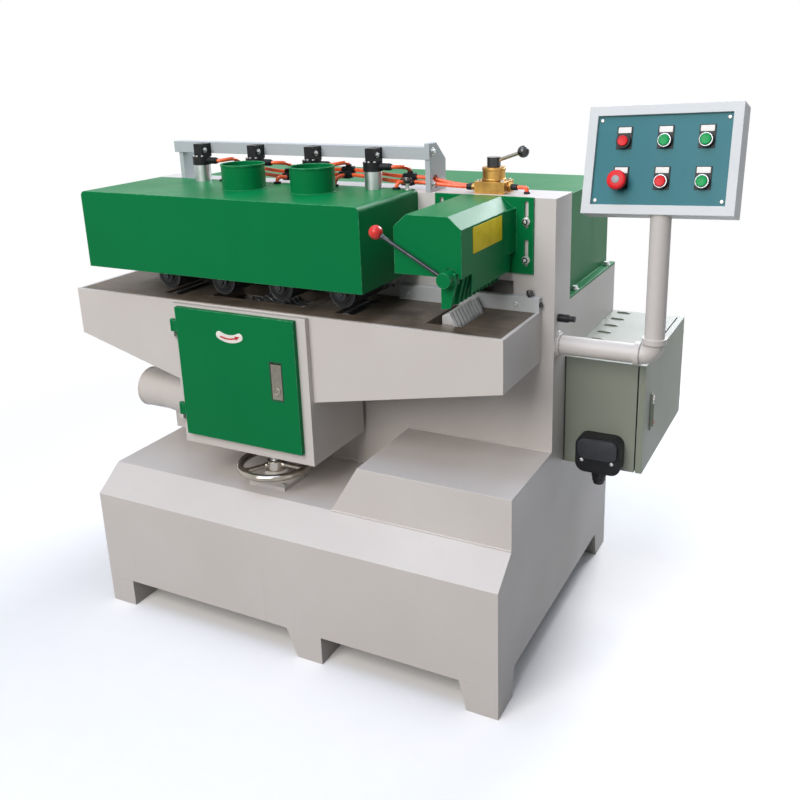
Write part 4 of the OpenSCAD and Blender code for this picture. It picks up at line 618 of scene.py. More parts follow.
def tube(bm, points, radius, sides=12, ripple=0.0, beat=0.0, close=False):
    points = [Vector(p) for p in points]
    count = len(points)
    rings, side = [], None
    for k, point in enumerate(points):
        before = points[k - 1] if k or close else point
        after = points[(k + 1) % count] if k < count - 1 or close else point
        way = (after - before).normalized()
        side = way.orthogonal() if side is None else side - way * side.dot(way)
        side.normalize()
        cross = way.cross(side)
        size = radius * (1 + ripple * math.sin(k * beat))
        rings.append([bm.verts.new(point + (side * math.cos(a) + cross * math.sin(a)) * size)
                      for a in (2 * math.pi * n / sides for n in range(sides))])
    pairs = list(zip(rings, rings[1:])) + ([(rings[-1], rings[0])] if close else [])
    for low, high in pairs:
        for n in range(sides):
            bm.faces.new([low[n], low[(n + 1) % sides], high[(n + 1) % sides], high[n]])
    if not close:
        bm.faces.new(list(reversed(rings[0])))
        bm.faces.new(rings[-1])


hose_r = 4.5
collar = [(4.6, 5), (6.6, 4.2), (6.9, 1), (6.9, -0.5), (4.6, -0.5)]
hose_mesh, collars = bmesh.new(), bmesh.new()
length = 0
for start_at, out_a, end_at, out_b in routes:
    line = list(curve(start_at, out_a, end_at, out_b))
    length += sum((b - a).length for a, b in zip(line, line[1:]))
    tube(hose_mesh, line, hose_r, 14)
    lathe(collars, start_at, out_a, collar, 24)
    lathe(collars, end_at, out_b, collar, 24)
print("hose in all:", round(length), "mm")
hoses = piece("air_hose_lines", hose_mesh, hose_pu, "frame", "hose")
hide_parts("air_hoses")
piece("hose_collars", collars, black_abs, "frame", "black_plastic")

# %% [markdown]
# ## Air cylinders
# Each cylinder's cap is held by socket screws and hangs from the beam on a clevis pin. A socket screw is a
# round head with a hexagonal hole, so the lathe makes it in one profile.

# %% Cylinder details
def socket_screw(bm, origin, axis, radius, height):
    key = radius * 0.52
    lathe(bm, origin, axis, [(radius, 0), (radius, height * 0.8), (radius * 0.86, height),
                             (key, height, "hex"), (key, height * 0.4, "hex"), (0, height * 0.4)])


cap_top, pin_z, clevis_half = 1127.6, 1143, 12
bm = bmesh.new()
for x in cylinder_xs:
    for dx, dy in ((-17, 0), (0, -17), (12, -12), (-12, -12)):
        socket_screw(bm, (x + dx, cylinder_y + dy, cap_top), UP, 3.2, 3)
    for side in (-1, 1):
        lathe(bm, (x + side * clevis_half, cylinder_y, pin_z), RIGHT * side,
              [(6.5, -0.5), (6.5, 1.2), (4.2, 1.2), (4.2, 3.6), (3.4, 4.4), (0, 4.4)])
piece("cylinder_screws", bm, zinc, "frame", "steel")

# %% [markdown]
# ## Hand valve
# The brass valve has four screws, two turned bands on its ring, and hexagon nuts where the hoses enter. Parts
# in the four corners of a rectangle come up again, so a function lists them.

# %% Valve details
def corners(x, y):
    return [(sx * x, sy * y) for sx in (-1, 1) for sy in (-1, 1)]


body_half, body_top = valve_box.high.x - valve.x, 1086.6
bm = bmesh.new()
for dx, dy in corners(28, 21):
    socket_screw(bm, (valve.x + dx, valve.y + dy, body_top), UP, 4, 3.6)
piece("valve_screws", bm, zinc, "frame", "steel")
bm = bmesh.new()
for z, r in ((1090, 26.4), (1112.5, 26)):
    lathe(bm, (valve.x, valve.y, z), UP, [(24.8, -2.6), (r - 0.8, -2.6), (r, -1.8), (r, 1.8), (r - 0.8, 2.6),
                                          (24.8, 2.6)], 48)
for y in (352, 368):
    lathe(bm, (valve.x - body_half, y, valve.z), LEFT, [(8, -0.5, "hex"), (8, 6, "hex"), (7.6, 7), (7.1, 7)])
lathe(bm, valve + RIGHT * body_half, RIGHT, [(11, -0.5, "hex"), (11, 6, "hex"), (8.6, 7), (7.4, 7)])
piece("valve_bands", bm, brass, "frame", "brass")

# %% [markdown]
# ## Welds
# Plates and pipes are joined by fillet welds, painted over. A weld is a row of overlapping drops, so a thin
# tube whose thickness beats every few millimetres looks right where a plain fillet would not.

# %% Weld beads
def seam(start_at, end_at, step=1.5):
    start_at, end_at = Vector(start_at), Vector(end_at)
    count = max(2, int((end_at - start_at).length / step))
    return [start_at.lerp(end_at, k / count) for k in range(count + 1)]


def loop(middle, axis, radius, step=1.5):
    axis, side, cross = axes_for(axis)
    count = int(2 * math.pi * radius / step)
    turns = [2 * math.pi * k / count for k in range(count)]
    return [Vector(middle) + (side * math.cos(a) + cross * math.sin(a)) * radius for a in turns]


drop_beat = 1.05
deck, column = box_of("raised_deck"), box_of("column")
deck_left, deck_front, deck_right, deck_back = deck.low.x, deck.low.y, deck.high.x - 1, deck.high.y
base_top, step_top, slope_top = deck.low.z + 0.5, deck.high.z + 0.5, 726
seams = (((deck_left, deck_front, base_top), (deck_right, deck_front, base_top)),
         ((deck_left, deck_front + 1, base_top), (deck_left, deck_back - 1, base_top)),
         ((column.low.x + 1, deck_back, base_top), (deck_left - 1, deck_back, base_top)),
         ((slope_top, deck_back, step_top), (deck_right, deck_back, step_top)))
bm = bmesh.new()
for start_at, end_at in seams:
    tube(bm, seam(start_at, end_at), 2.4, 8, 0.1, drop_beat)
piece("deck_welds", bm, grey_enamel, "frame", "grey_paint", smooth=80)
port_xs, port_y, cover_top = (370, 560), 219, 1068.2
bm = bmesh.new()
for x in port_xs:
    tube(bm, loop((x, port_y, cover_top), UP, 50.4), 1.8, 8, 0.1, drop_beat, True)
piece("port_welds", bm, green_enamel, "frame", "green_paint", smooth=80)
pipe, flange_r = box_of("panel_pipe"), 27
flange = Vector((pipe.low.x, pipe.middle.y, pipe.low.z + flange_r))
bm = bmesh.new()
tube(bm, loop(flange + RIGHT * 5, RIGHT, 23.5), 3, 8, 0.14, drop_beat, True)
tube(bm, loop(flange + RIGHT * 0.5, RIGHT, 28), 2.6, 8, 0.16, drop_beat, True)
piece("pipe_welds", bm, grey_enamel, "frame", "grey_paint", smooth=80)
outlet = box_of("dust_outlet")
bm = bmesh.new()
tube(bm, loop((outlet.high.x - 0.2, outlet.middle.y, outlet.middle.z), RIGHT, 68.4), 2.2, 8, 0.12, drop_beat,
     True)
piece("outlet_weld", bm, grey_enamel, "table", "grey_paint", smooth=80)

# %% [markdown]
# ## Rolled pipe ends
# Dust ports have a folded rim at the open end, which stiffens the sheet and holds the hose clip. One profile
# serves all three.

# %% Port rims
rim = [(47.6, -3), (47.6, 0.4), (48.6, 1.2), (50.2, 1.2), (51, 0.4), (51, -3), (50, -3.4)]
port_top = box_of("top_cover").high.z
bm = bmesh.new()
for x in port_xs:
    lathe(bm, (x, port_y, port_top), UP, rim, 64)
piece("port_rims", bm, green_enamel, "frame", "green_paint")
bm = bmesh.new()
lathe(bm, (outlet.low.x, outlet.middle.y, outlet.middle.z), LEFT, rim, 64)
piece("outlet_rim", bm, grey_enamel, "table", "grey_paint")

# %% [markdown]
# ## Table insert and fence
# A thin iron plate round the blades' opening takes the wear and is held by countersunk screws. It is a frame
# between two rounded rectangles, so one function draws such an outline and another joins two of them. The
# fence is clamped with a small knob and has screws along its face.

# %% Insert
def rounded(width, height, radius, steps=5, middle=(0, 0)):
    points = []
    for quarter, (sx, sy) in enumerate(((1, 1), (-1, 1), (-1, -1), (1, -1))):
        for k in range(steps + 1):
            angle = math.pi / 2 * (quarter + k / steps)
            points.append((middle[0] + sx * (width / 2 - radius) + radius * math.cos(angle),
                           middle[1] + sy * (height / 2 - radius) + radius * math.sin(angle)))
    return points


def ring_plate(bm, outer, inner, origin, across, up, depth):
    across, up = Vector(across).normalized(), Vector(up).normalized()
    out = across.cross(up)
    rows = []
    for outline, rise in ((outer, 0), (outer, depth), (inner, depth), (inner, 0)):
        rows.append([bm.verts.new(Vector(origin) + across * u + up * v + out * rise) for u, v in outline])
    count = len(outer)
    for one, two in zip(rows, rows[1:] + rows[:1]):
        for k in range(count):
            bm.faces.new([one[k], one[(k + 1) % count], two[(k + 1) % count], two[k]])


table_z, bed = box_of("table_top").high.z, 0.1
insert, slot_cut = rounded(310, 142, 6, 4, (419, 229)), rounded(266, 120, 2, 4, (419, 227))
bm = bmesh.new()
ring_plate(bm, insert, slot_cut, UP * (table_z - bed), RIGHT, BACK, 0.7)
piece("table_insert", bm, table_iron, "table", "table_iron")

# %% Table screws and fence knob
insert_top, fence = table_z + 0.5, box_of("fence")
bm = bmesh.new()
for x in (286, 550):
    for y in (166, 292):
        lathe(bm, (x, y, insert_top), UP, [(5.5, -0.4), (5.5, 0.3), (4.6, 0.6), (2.4, 0.6, "hex"),
                                           (2.4, -0.2, "hex"), (0, -0.2)], 24)
for x in (748, 860, 1010):
    socket_screw(bm, (x, fence.low.y + 0.2, table_z + 16), FRONT, 5, 3.6)
piece("table_screws", bm, zinc, "table", "steel")
bm = bmesh.new()
lathe(bm, (fence.high.x - 23, fence.low.y + 4, fence.high.z), UP,
      [(4, -1), (4, 3), (7, 4), (7.4, 6), (7.4, 13), (6, 15), (0, 15.6)], 28)
socket_screw(bm, (fence.high.x - 0.2, fence.low.y + 7, table_z + 17), RIGHT, 6, 5)
piece("fence_knob", bm, black_phenolic, "table", "black_plastic")

# %% [markdown]
# ## Finger shims
# The lower fingers are thin plates side by side on one rod. Steel shims join them in pairs, and dark rubber
# sheets between the pairs, set in a little from the edges, are painted shade in the gaps. Without them the
# row would look like one block. Both are cut from plate: a function pushes an outline to a depth and can
# soften its edges.

# %% Shims and painted gap shade
def plate(bm, outline, origin, across, up, depth, soften=0.0):
    across, up = Vector(across).normalized(), Vector(up).normalized()
    out = across.cross(up)
    back = [bm.verts.new(Vector(origin) + across * u + up * v) for u, v in outline]
    front = [bm.verts.new(p.co + out * depth) for p in back]
    count = len(outline)
    bm.faces.new(list(reversed(back)))
    top = bm.faces.new(front)
    for k in range(count):
        bm.faces.new([back[k], back[(k + 1) % count], front[(k + 1) % count], front[k]])
    if soften:
        bmesh.ops.bevel(bm, geom=list(top.edges), offset=soften, segments=2, profile=0.6, affect="EDGES")


finger_rod = Vector((930, 0, 798))
finger_t, finger_pitch, play = 4.0, 140 / 18, 0.1
first_finger = box_of("lower_fingers").low.y
gap = finger_pitch - finger_t - 2 * play
shim_outline = [(-24.6, 9), (7.4, 9), (-9.2, 41.6), (-24.6, 35)]
gap_shade_outline = [(-23.4, 9), (5.9, 9), (-10, 40), (-23.4, 34)]
shims, finger_gap_shades = bmesh.new(), bmesh.new()
# Every other gap gets a dark rubber sheet as painted shade between the pairs.
for i in range(18):
    back_y = first_finger + i * finger_pitch + finger_t + play + gap
    row, outline = (finger_gap_shades, gap_shade_outline) if i % 2 else (shims, shim_outline)
    plate(row, outline, finger_rod + BACK * back_y, RIGHT, UP, gap)
piece("finger_shims", shims, spring_steel, "lower_fingers", "steel")
piece("finger_gap_shade", finger_gap_shades, rubber, "lower_fingers", "rubber")

# %% [markdown]
# ## Press rollers
# Each roller is a steel drum with a rubber tyre. The open end shows the drum's face, its rim and the end of
# the shaft with its washer and screw. They are drawn dark as painted shade under the cover, and their
# edges are painted paler as a highlight.

# %% Roller faces
roller = box_of("press_roller_1")
roller_z, drum_face, shaft_face = roller.middle.z, roller.low.y + 6.2, roller.low.y - 0.2
drum_rim = [(31.9, -4), (32.2, -3.4), (32.2, 0.4), (31.6, 0.9), (30.4, 0.9), (30, 0)]
shaft_end = [(12, -0.3), (12, 1.4), (9, 1.8), (9, 1.8, "hex"), (8, 6, "hex"), (6.6, 6.8), (0, 6.8)]
drum_web = [(30.2, -0.4), (30.2, 0.4), (22, 0.3), (20.5, 1.7), (15.2, 1.9)]
# Rim, shaft end and web are dark as painted shade: the rollers sit in the cover's shadow.
for i, x in enumerate(cylinder_xs):
    body = "press_roller_%d" % (i + 1)
    bm = bmesh.new()
    lathe(bm, (x, drum_face, roller_z), FRONT, drum_rim, 56)
    lathe(bm, (x, shaft_face, roller_z), FRONT, shaft_end, 36)
    piece("roller_face_%d" % (i + 1), bm, blackened_and_shaded_steel, body, "steel")
    bm = bmesh.new()
    lathe(bm, (x, drum_face, roller_z), FRONT, drum_web, 48)
    piece("roller_web_%d" % (i + 1), bm, black_abs, body, "rubber")

# %% [markdown]
# ## Lift screw
# The handwheel is the nut of a screw that carries the table. The CAD screw is a plain rod in the hub's bore.
# A real one has a thread, five millimetres a turn. It is drawn here as a ring of points that climbs as it
# turns, with the groove cut into the rod, so it still fits the bore. Both ends are turned down to the
# groove's depth, and a boss joins the upper one to the table.

# %% Thread
wheel, screw, boss_h = box_of("handwheel"), box_of("lift_screw"), 5
screw_x, screw_y, rod_r, groove = wheel.middle.x, wheel.middle.y, 14, 2.2
low, high, boss_top = screw.low.z, screw.high.z - boss_h, screw.high.z
sides, pitch, rings_a_turn, plain_end = 24, 5.0, 6, 3
boss = [(0, 0), (26, 0), (26, 4), (25, 5), (18, 5), (17, 5.5), (0, 5.5)]
steps = int((high - low) / pitch * rings_a_turn)
bm = bmesh.new()
rows = []
for k in range(steps + 1):
    z = low + (high - low) * k / steps
    row = []
    for n in range(sides):
        phase = ((z - low) / pitch - n / sides) % 1
        cut = 1 - abs(2 * phase - 1) ** 1.5 if low + plain_end < z < high - plain_end else 1
        radius, angle = rod_r - groove * cut, 2 * math.pi * n / sides
        row.append(bm.verts.new((screw_x + radius * math.cos(angle), screw_y + radius * math.sin(angle), z)))
    rows.append(row)
for one, two in zip(rows, rows[1:]):
    for n in range(sides):
        bm.faces.new([one[n], one[(n + 1) % sides], two[(n + 1) % sides], two[n]])
bm.faces.new(list(reversed(rows[0])))
bm.faces.new(rows[-1])
lathe(bm, (screw_x, screw_y, boss_top), DOWN, boss, 40)
thread = piece("lift_screw_thread", bm, steel, "table", "steel", smooth=50)
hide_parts("lift_screw")

# %% [markdown]
# ## Handwheel
# The wheel's hub has a chamfered cap, and each spoke ends in a small collar at the hub and at the rim. Four
# screws hold the pad under the wheel.

# %% Hub, collars and pad screws
hub_top, spoke_z, hub_r, rim_r = wheel.high.z, wheel.high.z - 9, 23, 77
pad_top = box_of("screw_pad").low.z + 9.8
hub_cap = [(14.4, -0.5), (21.5, -0.5), (21.5, 0.6), (19.5, 2.2), (15.2, 2.2), (14.4, 1.4)]
spoke_collar = [(6.1, 6), (7.4, 4.6), (8.2, 0), (8.2, -3), (6.1, -3)]
bm = bmesh.new()
lathe(bm, (screw_x, screw_y, hub_top), UP, hub_cap, 48)
for k in range(3):
    way = Vector((math.cos(2 * math.pi * k / 3), math.sin(2 * math.pi * k / 3), 0))
    for reach, back in ((hub_r, 1), (rim_r, -1)):
        lathe(bm, Vector((screw_x, screw_y, spoke_z)) + way * reach, way * back, spoke_collar, 28)
piece("wheel_collars", bm, chrome, "handwheel", "chrome")
bm = bmesh.new()
for dx, dy in corners(42, 32):
    socket_screw(bm, (screw_x + dx, screw_y + dy, pad_top), UP, 5.5, 5)
piece("pad_screws", bm, zinc, "frame", "steel")

# %% [markdown]
# ## Saw box door
# The door carries a dark rubber frame round its flush lock, a key barrel and a finger ridge on the paddle,
# caps on the hinge pins, and a white tag with an arrow for the way the blades turn. Tag and arrow are both
# bent, so one function draws a band along an arc, with round ends.

# %% Lock and hinges
door, door_y = box_of("saw_door"), box_of("door_lock").low.y
lock_x, lock_z, barrel_z, ridge_z = 527.3, 660.5, 636, 622
barrel = [(9.5, -0.5), (9.5, 1.2), (8.6, 2), (7, 2), (6.6, 1.2), (2, 1.2), (2, -0.2), (0, -0.2)]
lock_outer, lock_inner = rounded(33, 93, 2, 4, (lock_x, lock_z)), rounded(29.4, 89, 1, 4, (lock_x, lock_z))
bm = bmesh.new()
ring_plate(bm, lock_outer, lock_inner, BACK * door_y, RIGHT, UP, 0.8)
piece("lock_frame", bm, rubber, "saw_door", "rubber")
bm = bmesh.new()
lathe(bm, (lock_x, door_y, barrel_z), FRONT, barrel, 36)
plate(bm, rounded(24, 3, 1.4, 4), (lock_x, door_y, ridge_z), RIGHT, UP, 1.4, 0.5)
piece("lock_barrel", bm, nickel, "door_lock", "chrome")
hinge_x, hinge_y, door_h, half_knuckle = 236.06, 78, door.high.z - door.low.z, 27
bm = bmesh.new()
for height in (0.15, 0.81):
    lathe(bm, (hinge_x, hinge_y, door.low.z + height * door_h + half_knuckle), UP,
          [(6.1, -0.5), (6.1, 1), (5, 2.4), (0, 3)], 28)
piece("hinge_caps", bm, green_enamel, "saw_door", "green_paint")


# %% Tag and arrow
def band(radius, half_width, sweep, steps=18):
    turns = [math.radians(-90 - sweep + 2 * sweep * k / steps) for k in range(steps + 1)]
    ends = []
    for turn_at, way in ((turns[-1], 0), (turns[0], math.pi)):
        middle = Vector((math.cos(turn_at), math.sin(turn_at))) * radius
        ends.append([tuple(middle + Vector((math.cos(a), math.sin(a))) * half_width)
                     for a in (turn_at + way + math.pi * k / 8 for k in range(1, 8))])
    low = [((radius + half_width) * math.cos(a), (radius + half_width) * math.sin(a)) for a in turns]
    high = [((radius - half_width) * math.cos(a), (radius - half_width) * math.sin(a)) for a in turns[::-1]]
    return low + ends[0] + high + ends[1]


tag_middle, arrow_middle = (405, door_y, 809), (402, 73, 809)
tag_r, tag_sweep, arrow_sweep = 62, 27, 20
bm = bmesh.new()
plate(bm, band(tag_r, 9.5, tag_sweep), tag_middle, RIGHT, UP, 0.8, 0.3)
piece("turn_tag", bm, tag_white, "saw_door", "green_paint")
tip = Matrix.Rotation(math.radians(arrow_sweep), 2)
arrow_head = [tip @ Vector(p) for p in ((-1, -tag_r - 5), (12, -tag_r), (-1, -tag_r + 5))]
bm = bmesh.new()
plate(bm, band(tag_r, 1.8, arrow_sweep), arrow_middle, RIGHT, UP, 0.5)
plate(bm, arrow_head, arrow_middle, RIGHT, UP, 0.5)
piece("turn_arrow", bm, ink_red, "saw_door", "green_paint")

# %% [markdown]
# ## Infeed hood
# The hood hangs on four studs, whose nuts show a dark ring round the bright end. A plain plate is fixed to
# the hood's right side, and the red ball is screwed on with a nut.

# %% Studs, hood plate and ball nut
stud_face = 310
nut_face = [(6.4, -0.5), (6.4, 0.4), (5.8, 0.9), (3.4, 0.9)]
stud_end = [(3.5, -0.5), (3.5, 2.6), (2.6, 3.6), (0, 3.6)]
nuts, studs = bmesh.new(), bmesh.new()
for x in (829, 1028):
    for z in (928, 1011):
        lathe(nuts, (x, stud_face, z), FRONT, nut_face, 32)
        lathe(studs, (x, stud_face, z), FRONT, stud_end, 24)
piece("hood_nut_faces", nuts, blackened_and_shaded_steel, "frame", "steel")
piece("hood_studs", studs, zinc, "frame", "steel")
hood_side = (998, 179.5, 1008)
bm = bmesh.new()
plate(bm, rounded(149, 52, 3, 4), hood_side, BACK, UP, 0.8, 0.3)
piece("hood_plate_blank", bm, plate_yellow, "infeed_hood", "green_paint")
lever_pivot, lever_length, lever_lean, nut_back = Vector((974, 29, 946)), 169, math.radians(29), 15
way = Vector((-math.cos(lever_lean), 0, math.sin(lever_lean)))
ball = lever_pivot + way * lever_length
bm = bmesh.new()
lathe(bm, ball - way * nut_back, way, [(3.9, -4), (5.6, -4, "hex"), (5.6, 1, "hex"), (4.6, 2), (3.9, 2)], 36)
piece("ball_nut", bm, blackened_and_shaded_steel, "finger_lever", "steel")

# %% [markdown]
# ## Control panel
# The panel leans back and turns a little, so its parts are drawn flat and carried there by one matrix. The
# switch plate has pan head screws in its corners. Each button sits in a black holder under a blank white tag,
# four of them behind a bright ring.

# %% Panel plate, tags and rings
def pan_screw(bm, origin, axis, radius, height):
    key = radius * 0.3
    lathe(bm, origin, axis, [(radius, 0), (radius * 0.97, height * 0.35), (radius * 0.75, height * 0.8),
                             (radius * 0.45, height), (key, height, "hex"), (key, height * 0.45, "hex"),
                             (0, height * 0.45)], 24)


panel = (Matrix.Translation((1291.2, 365, 1143)) @ Matrix.Rotation(math.radians(-5.4), 4, "Z")
         @ Matrix.Rotation(math.radians(-17.8), 4, "X") @ Matrix.Rotation(math.radians(-2.8), 4, "Y"))
left_x, middle_x, right_x = -78, 7, 89
low_z, high_z = -44, 38
plate_face, tag_back, tag_rise, ring_y = 6.1, 4, 23.4, -4
bm = bmesh.new()
for x, z in corners(129, 82.5):
    pan_screw(bm, (x, plate_face, z), FRONT, 5, 2.6)
piece("panel_screws", bm, zinc, "frame", "steel", panel)
bm = bmesh.new()
for x in (left_x, middle_x, right_x):
    for z in (low_z, high_z):
        plate(bm, rounded(27, 12, 1, 3), (x, tag_back, z + tag_rise), RIGHT, UP, 0.7, 0.2)
piece("button_tags", bm, tag_white, "frame", "black_plastic", panel)
ring = [(13.8, -5), (13.8, 0.4), (13.2, 1.2), (12.2, 1.4), (11.4, 0.8), (11.4, -1)]
bm = bmesh.new()
for x in (middle_x, right_x):
    for z in (low_z, high_z):
        lathe(bm, (x, ring_y, z), FRONT, ring, 48)
piece("button_rings", bm, aluminium, "frame", "chrome", panel)

# %% [markdown]
# ## Buttons
# Button caps and the emergency stop's mushroom are turned, with rounded rims, and stand for the CAD ones. A
# lid with four screws closes the panel's back.

# %% Caps, mushroom and back lid
caps = {"button_red_upper": (left_x, high_z, red_cap, "red_plastic"),
        "button_green_middle": (middle_x, high_z, green_cap, "green_plastic"),
        "button_green_upper": (right_x, high_z, green_cap, "green_plastic"),
        "button_red_lower": (middle_x, low_z, red_cap, "red_plastic"),
        "button_green_lower": (right_x, low_z, green_cap, "green_plastic")}
cap_y, mushroom_y, lid_y = -8, -26, 50
cap_turn = [(0, -28), (10.7, -28), (10.7, -1.2), (10.2, -0.4), (9.4, 0), (8.4, -0.3), (5, -0.9), (0, -1.1)]
for name, (x, z, finish, slot) in caps.items():
    bm = bmesh.new()
    lathe(bm, (x, cap_y, z), FRONT, cap_turn, 40)
    cap = piece(name + "_cap", bm, finish, name, slot, panel)
    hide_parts(name)
mushroom_turn = [(0, -46), (10.7, -46), (10.7, -14), (12, -12), (18.6, -11.6), (20, -9.6), (20, -5),
                 (19, -2.4), (16.6, -0.8), (12, 0), (0, 0.2)]
bm = bmesh.new()
lathe(bm, (left_x, mushroom_y, low_z), FRONT, mushroom_turn, 56)
mushroom = piece("emergency_stop_mushroom", bm, red_cap, "emergency_stop", "red_plastic", panel)
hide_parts("emergency_stop")
bm = bmesh.new()
lathe(bm, (left_x, mushroom_y, low_z), FRONT, [(8, -0.3), (8, 0.5), (7.2, 0.9), (0, 1)], 36)
piece("emergency_stop_disc", bm, grey_pa, "emergency_stop", "black_plastic", panel)
bm = bmesh.new()
plate(bm, rounded(280, 190, 6, 4), BACK * lid_y, LEFT, UP, 2.2, 0.8)
piece("panel_back_lid", bm, pale_coat, "frame", "grey_paint", panel)
bm = bmesh.new()
for x, z in corners(128, 83):
    pan_screw(bm, (x, lid_y + 2.1, z), BACK, 4.6, 2.6)
piece("panel_lid_screws", bm, zinc, "frame", "steel", panel)

# %% [markdown]
# ## Cabinet
# The cabinet's swing handle folds flat on its door, with a round key barrel at one end. The connector has
# a charcoal lid, two bright screws and a hexagon nut over its cable gland. A rubber gasket seals the cabinet
# against the column. Five pressed louvres in the top let heat out.

# %% Swing handle
door_x, swing = box_of("cabinet_door").high.x, box_of("cabinet_lock").middle
dish_x, grip_x, spindle_x, key_x, dot_x = (door_x + dx for dx in (0.3, 3, -12, 3.2, 8.2))
handle_y, handle_z = swing.y, swing.z
key_barrel = [(7.6, -0.5), (7.6, 2), (6.6, 2.8), (1.6, 2.8), (1.6, 1.2), (0, 1.2)]
bm = bmesh.new()
plate(bm, rounded(20, 90, 3, 4), (dish_x, handle_y, handle_z), BACK, UP, 3, 0.8)
plate(bm, rounded(13, 58, 3, 4, (0, -8)), (grip_x, handle_y, handle_z), BACK, UP, 5.3, 1.6)
lathe(bm, (spindle_x, handle_y, handle_z), RIGHT, [(0, 0), (6, 0), (6, 13)], 24)
handle = piece("cabinet_swing_handle", bm, cabinet_coat, "cabinet_lock", "cabinet_paint")
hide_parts("cabinet_lock")
bm = bmesh.new()
lathe(bm, (key_x, handle_y, handle_z + 33), RIGHT, key_barrel, 36)
piece("cabinet_key_barrel", bm, chrome, "cabinet_lock", "chrome")
bm = bmesh.new()
lathe(bm, (dot_x, handle_y, handle_z - 27), RIGHT, [(4.4, -0.4), (4.4, 0.3), (3.6, 0.8), (0, 0.9)], 24)
piece("cabinet_lock_dot", bm, ink_red, "cabinet_lock", "red_plastic")

# %% Connector, gasket and gland
cabinet = box_of("cabinet")
plug_x, plug_face, gland_y, gland_top = 1184.5, 372.2, 389, 428
gland_nut = [(15.2, -1), (19, -1, "hex"), (19, 8, "hex"), (17, 9.5), (16.4, 9.5), (16.4, 12), (15.2, 13)]
gland_sleeve = [(15, 21), (13, 25), (12.4, 30), (9, 31), (0, 31)]
bm = bmesh.new()
for x in (1147, 1217):
    pan_screw(bm, (x, plug_face - 0.1, 457), FRONT, 5, 3)
piece("connector_screws", bm, zinc, "frame", "steel")
bm = bmesh.new()
plate(bm, rounded(90, 48, 15, 6), (plug_x, plug_face, 489), RIGHT, UP, 8.6, 2.5)
piece("connector_lid", bm, charcoal_abs, "frame", "black_plastic")
bm = bmesh.new()
plate(bm, rounded(3, 258, 1, 3), (cabinet.low.x + 2, cabinet.low.y + 0.2, handle_z), RIGHT, UP, 0.8, 0.2)
piece("cabinet_gasket", bm, rubber, "frame", "rubber")
bm = bmesh.new()
lathe(bm, (plug_x, gland_y, gland_top), DOWN, gland_nut, 36)
lathe(bm, (plug_x, gland_y, gland_top), DOWN, gland_sleeve, 36)
piece("cable_gland", bm, black_abs, "frame", "black_plastic")


# %% Louvres
def louvre(bm, middle, along, up, out, length, height, depth, across=16, tall=6):
    grid = []
    for i in range(across + 1):
        s = 2 * i / across - 1
        swell = (1 - abs(s) ** 4) ** 0.5
        grid.append([bm.verts.new(middle + along * (s * length / 2) + up * (t * height)
                                  + out * (depth * swell * math.cos(math.pi / 2 * t) - 0.2))
                     for t in (k / tall for k in range(tall + 1))])
    for one, two in zip(grid, grid[1:]):
        for k in range(tall):
            bm.faces.new([one[k], two[k], two[k + 1], one[k + 1]])
    foot = [bm.verts.new(row[0].co - out * (out.dot(row[0].co - middle) + 0.6)) for row in grid]
    for i in range(across):
        bm.faces.new([grid[i][0], foot[i], foot[i + 1], grid[i + 1][0]])


first_louvre, louvre_pitch = Vector((cabinet.low.x + 32, 552, cabinet.high.z)), 61
bm = bmesh.new()
for k in range(5):
    louvre(bm, first_louvre + BACK * (k * louvre_pitch), RIGHT, BACK, UP, 36, 14, 4)
piece("cabinet_louvres", bm, cabinet_coat, "frame", "cabinet_paint", smooth=60)

# %% [markdown]
# ## The back and the ends
# Behind the column stand the belts and motors, in a plate housing. It needs doors to reach them: two lids
# on the back and one at the left end, each with hexagon head screws and rows of pressed louvres over the
# motor.

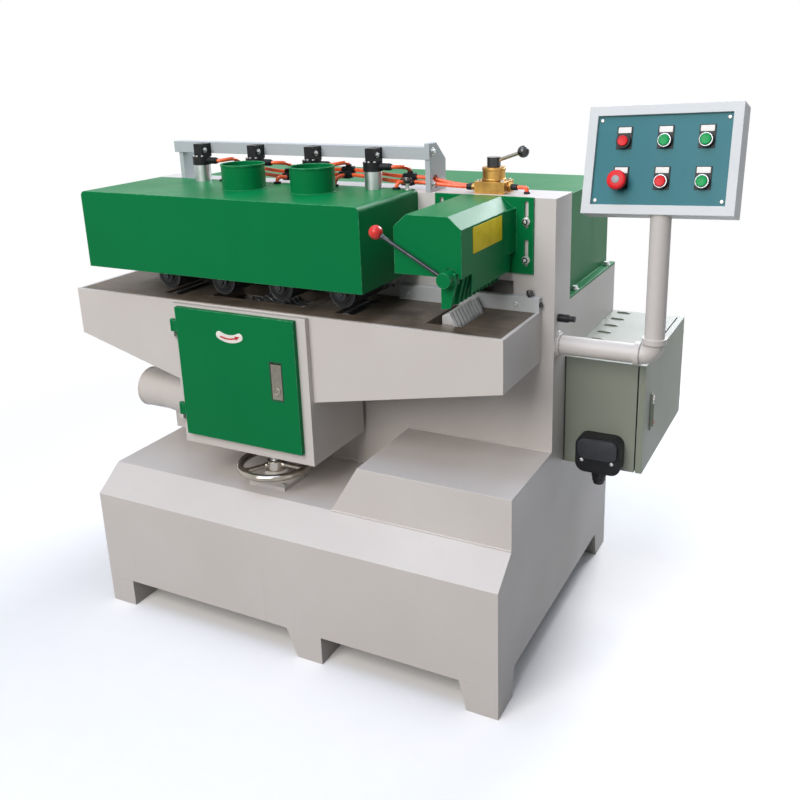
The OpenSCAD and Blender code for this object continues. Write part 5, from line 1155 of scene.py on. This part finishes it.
# %% Service lids
def hex_screw(bm, origin, axis, radius, height):
    lathe(bm, origin, axis, [(radius * 1.45, 0), (radius * 1.45, height * 0.2), (radius, height * 0.2, "hex"),
                             (radius, height * 0.86, "hex"), (radius * 0.8, height), (0, height)])


lid_z, lid_h, lid_t, inset = 585, 360, 2.5, 16
housing = box_of("rear_housing")
lids = [(Vector((280, housing.high.y, lid_z)), LEFT, BACK, 480),
        (Vector((800, housing.high.y, lid_z)), LEFT, BACK, 440),
        (Vector((housing.low.x, housing.middle.y, lid_z)), FRONT, LEFT, 300)]
lid_mesh, lid_screws, lid_louvres = bmesh.new(), bmesh.new(), bmesh.new()
for middle, across, out, width in lids:
    plate(lid_mesh, rounded(width, lid_h, 10, 4), middle, across, UP, lid_t, 1)
    for sx in (-1, 0, 1):
        for sz in (-1, 1):
            corner = middle + across * (sx * (width / 2 - inset)) + UP * (sz * (lid_h / 2 - inset))
            hex_screw(lid_screws, corner + out * (lid_t - 0.1), out, 5, 4.4)
    for row in range(6):
        for column in (-1, 1) if width > 400 else (0,):
            place = middle + across * (column * width * 0.21) + UP * (row * 36 - 106)
            louvre(lid_louvres, place + out * lid_t, across, UP, out, 150, 16, 7)
piece("service_lids", lid_mesh, grey_enamel, "frame", "grey_paint")
piece("service_lid_screws", lid_screws, zinc, "frame", "steel")
piece("service_louvres", lid_louvres, grey_enamel, "frame", "grey_paint", smooth=60)

# %% [markdown]
# ## Bracket bolts and a locking stud
# The beam's bracket is bolted to the column, and a stud with a small knob locks the main cover.

# %% Bolts and stud
bracket_x, stud_x, stud_y = box_of("cross_beam").high.x, 752, 306
stud_foot, knob_low = cover_top - 0.4, 1082
bm = bmesh.new()
for y, z in ((338, 1150), (385, 1078), (338, 1078)):
    hex_screw(bm, (bracket_x, y, z), RIGHT, 6, 6)
lathe(bm, (stud_x, stud_y, stud_foot), UP, [(8, 0), (8, 1.6), (4, 1.6), (4, 16)], 24)
piece("bracket_bolts", bm, zinc, "frame", "steel")
bm = bmesh.new()
lathe(bm, (stud_x, stud_y, knob_low), UP, [(5, 0), (9, 2), (9.6, 4), (9.6, 10), (8, 12.6), (0, 13.4)], 32)
piece("cover_stud_knob", bm, black_phenolic, "frame", "black_plastic")
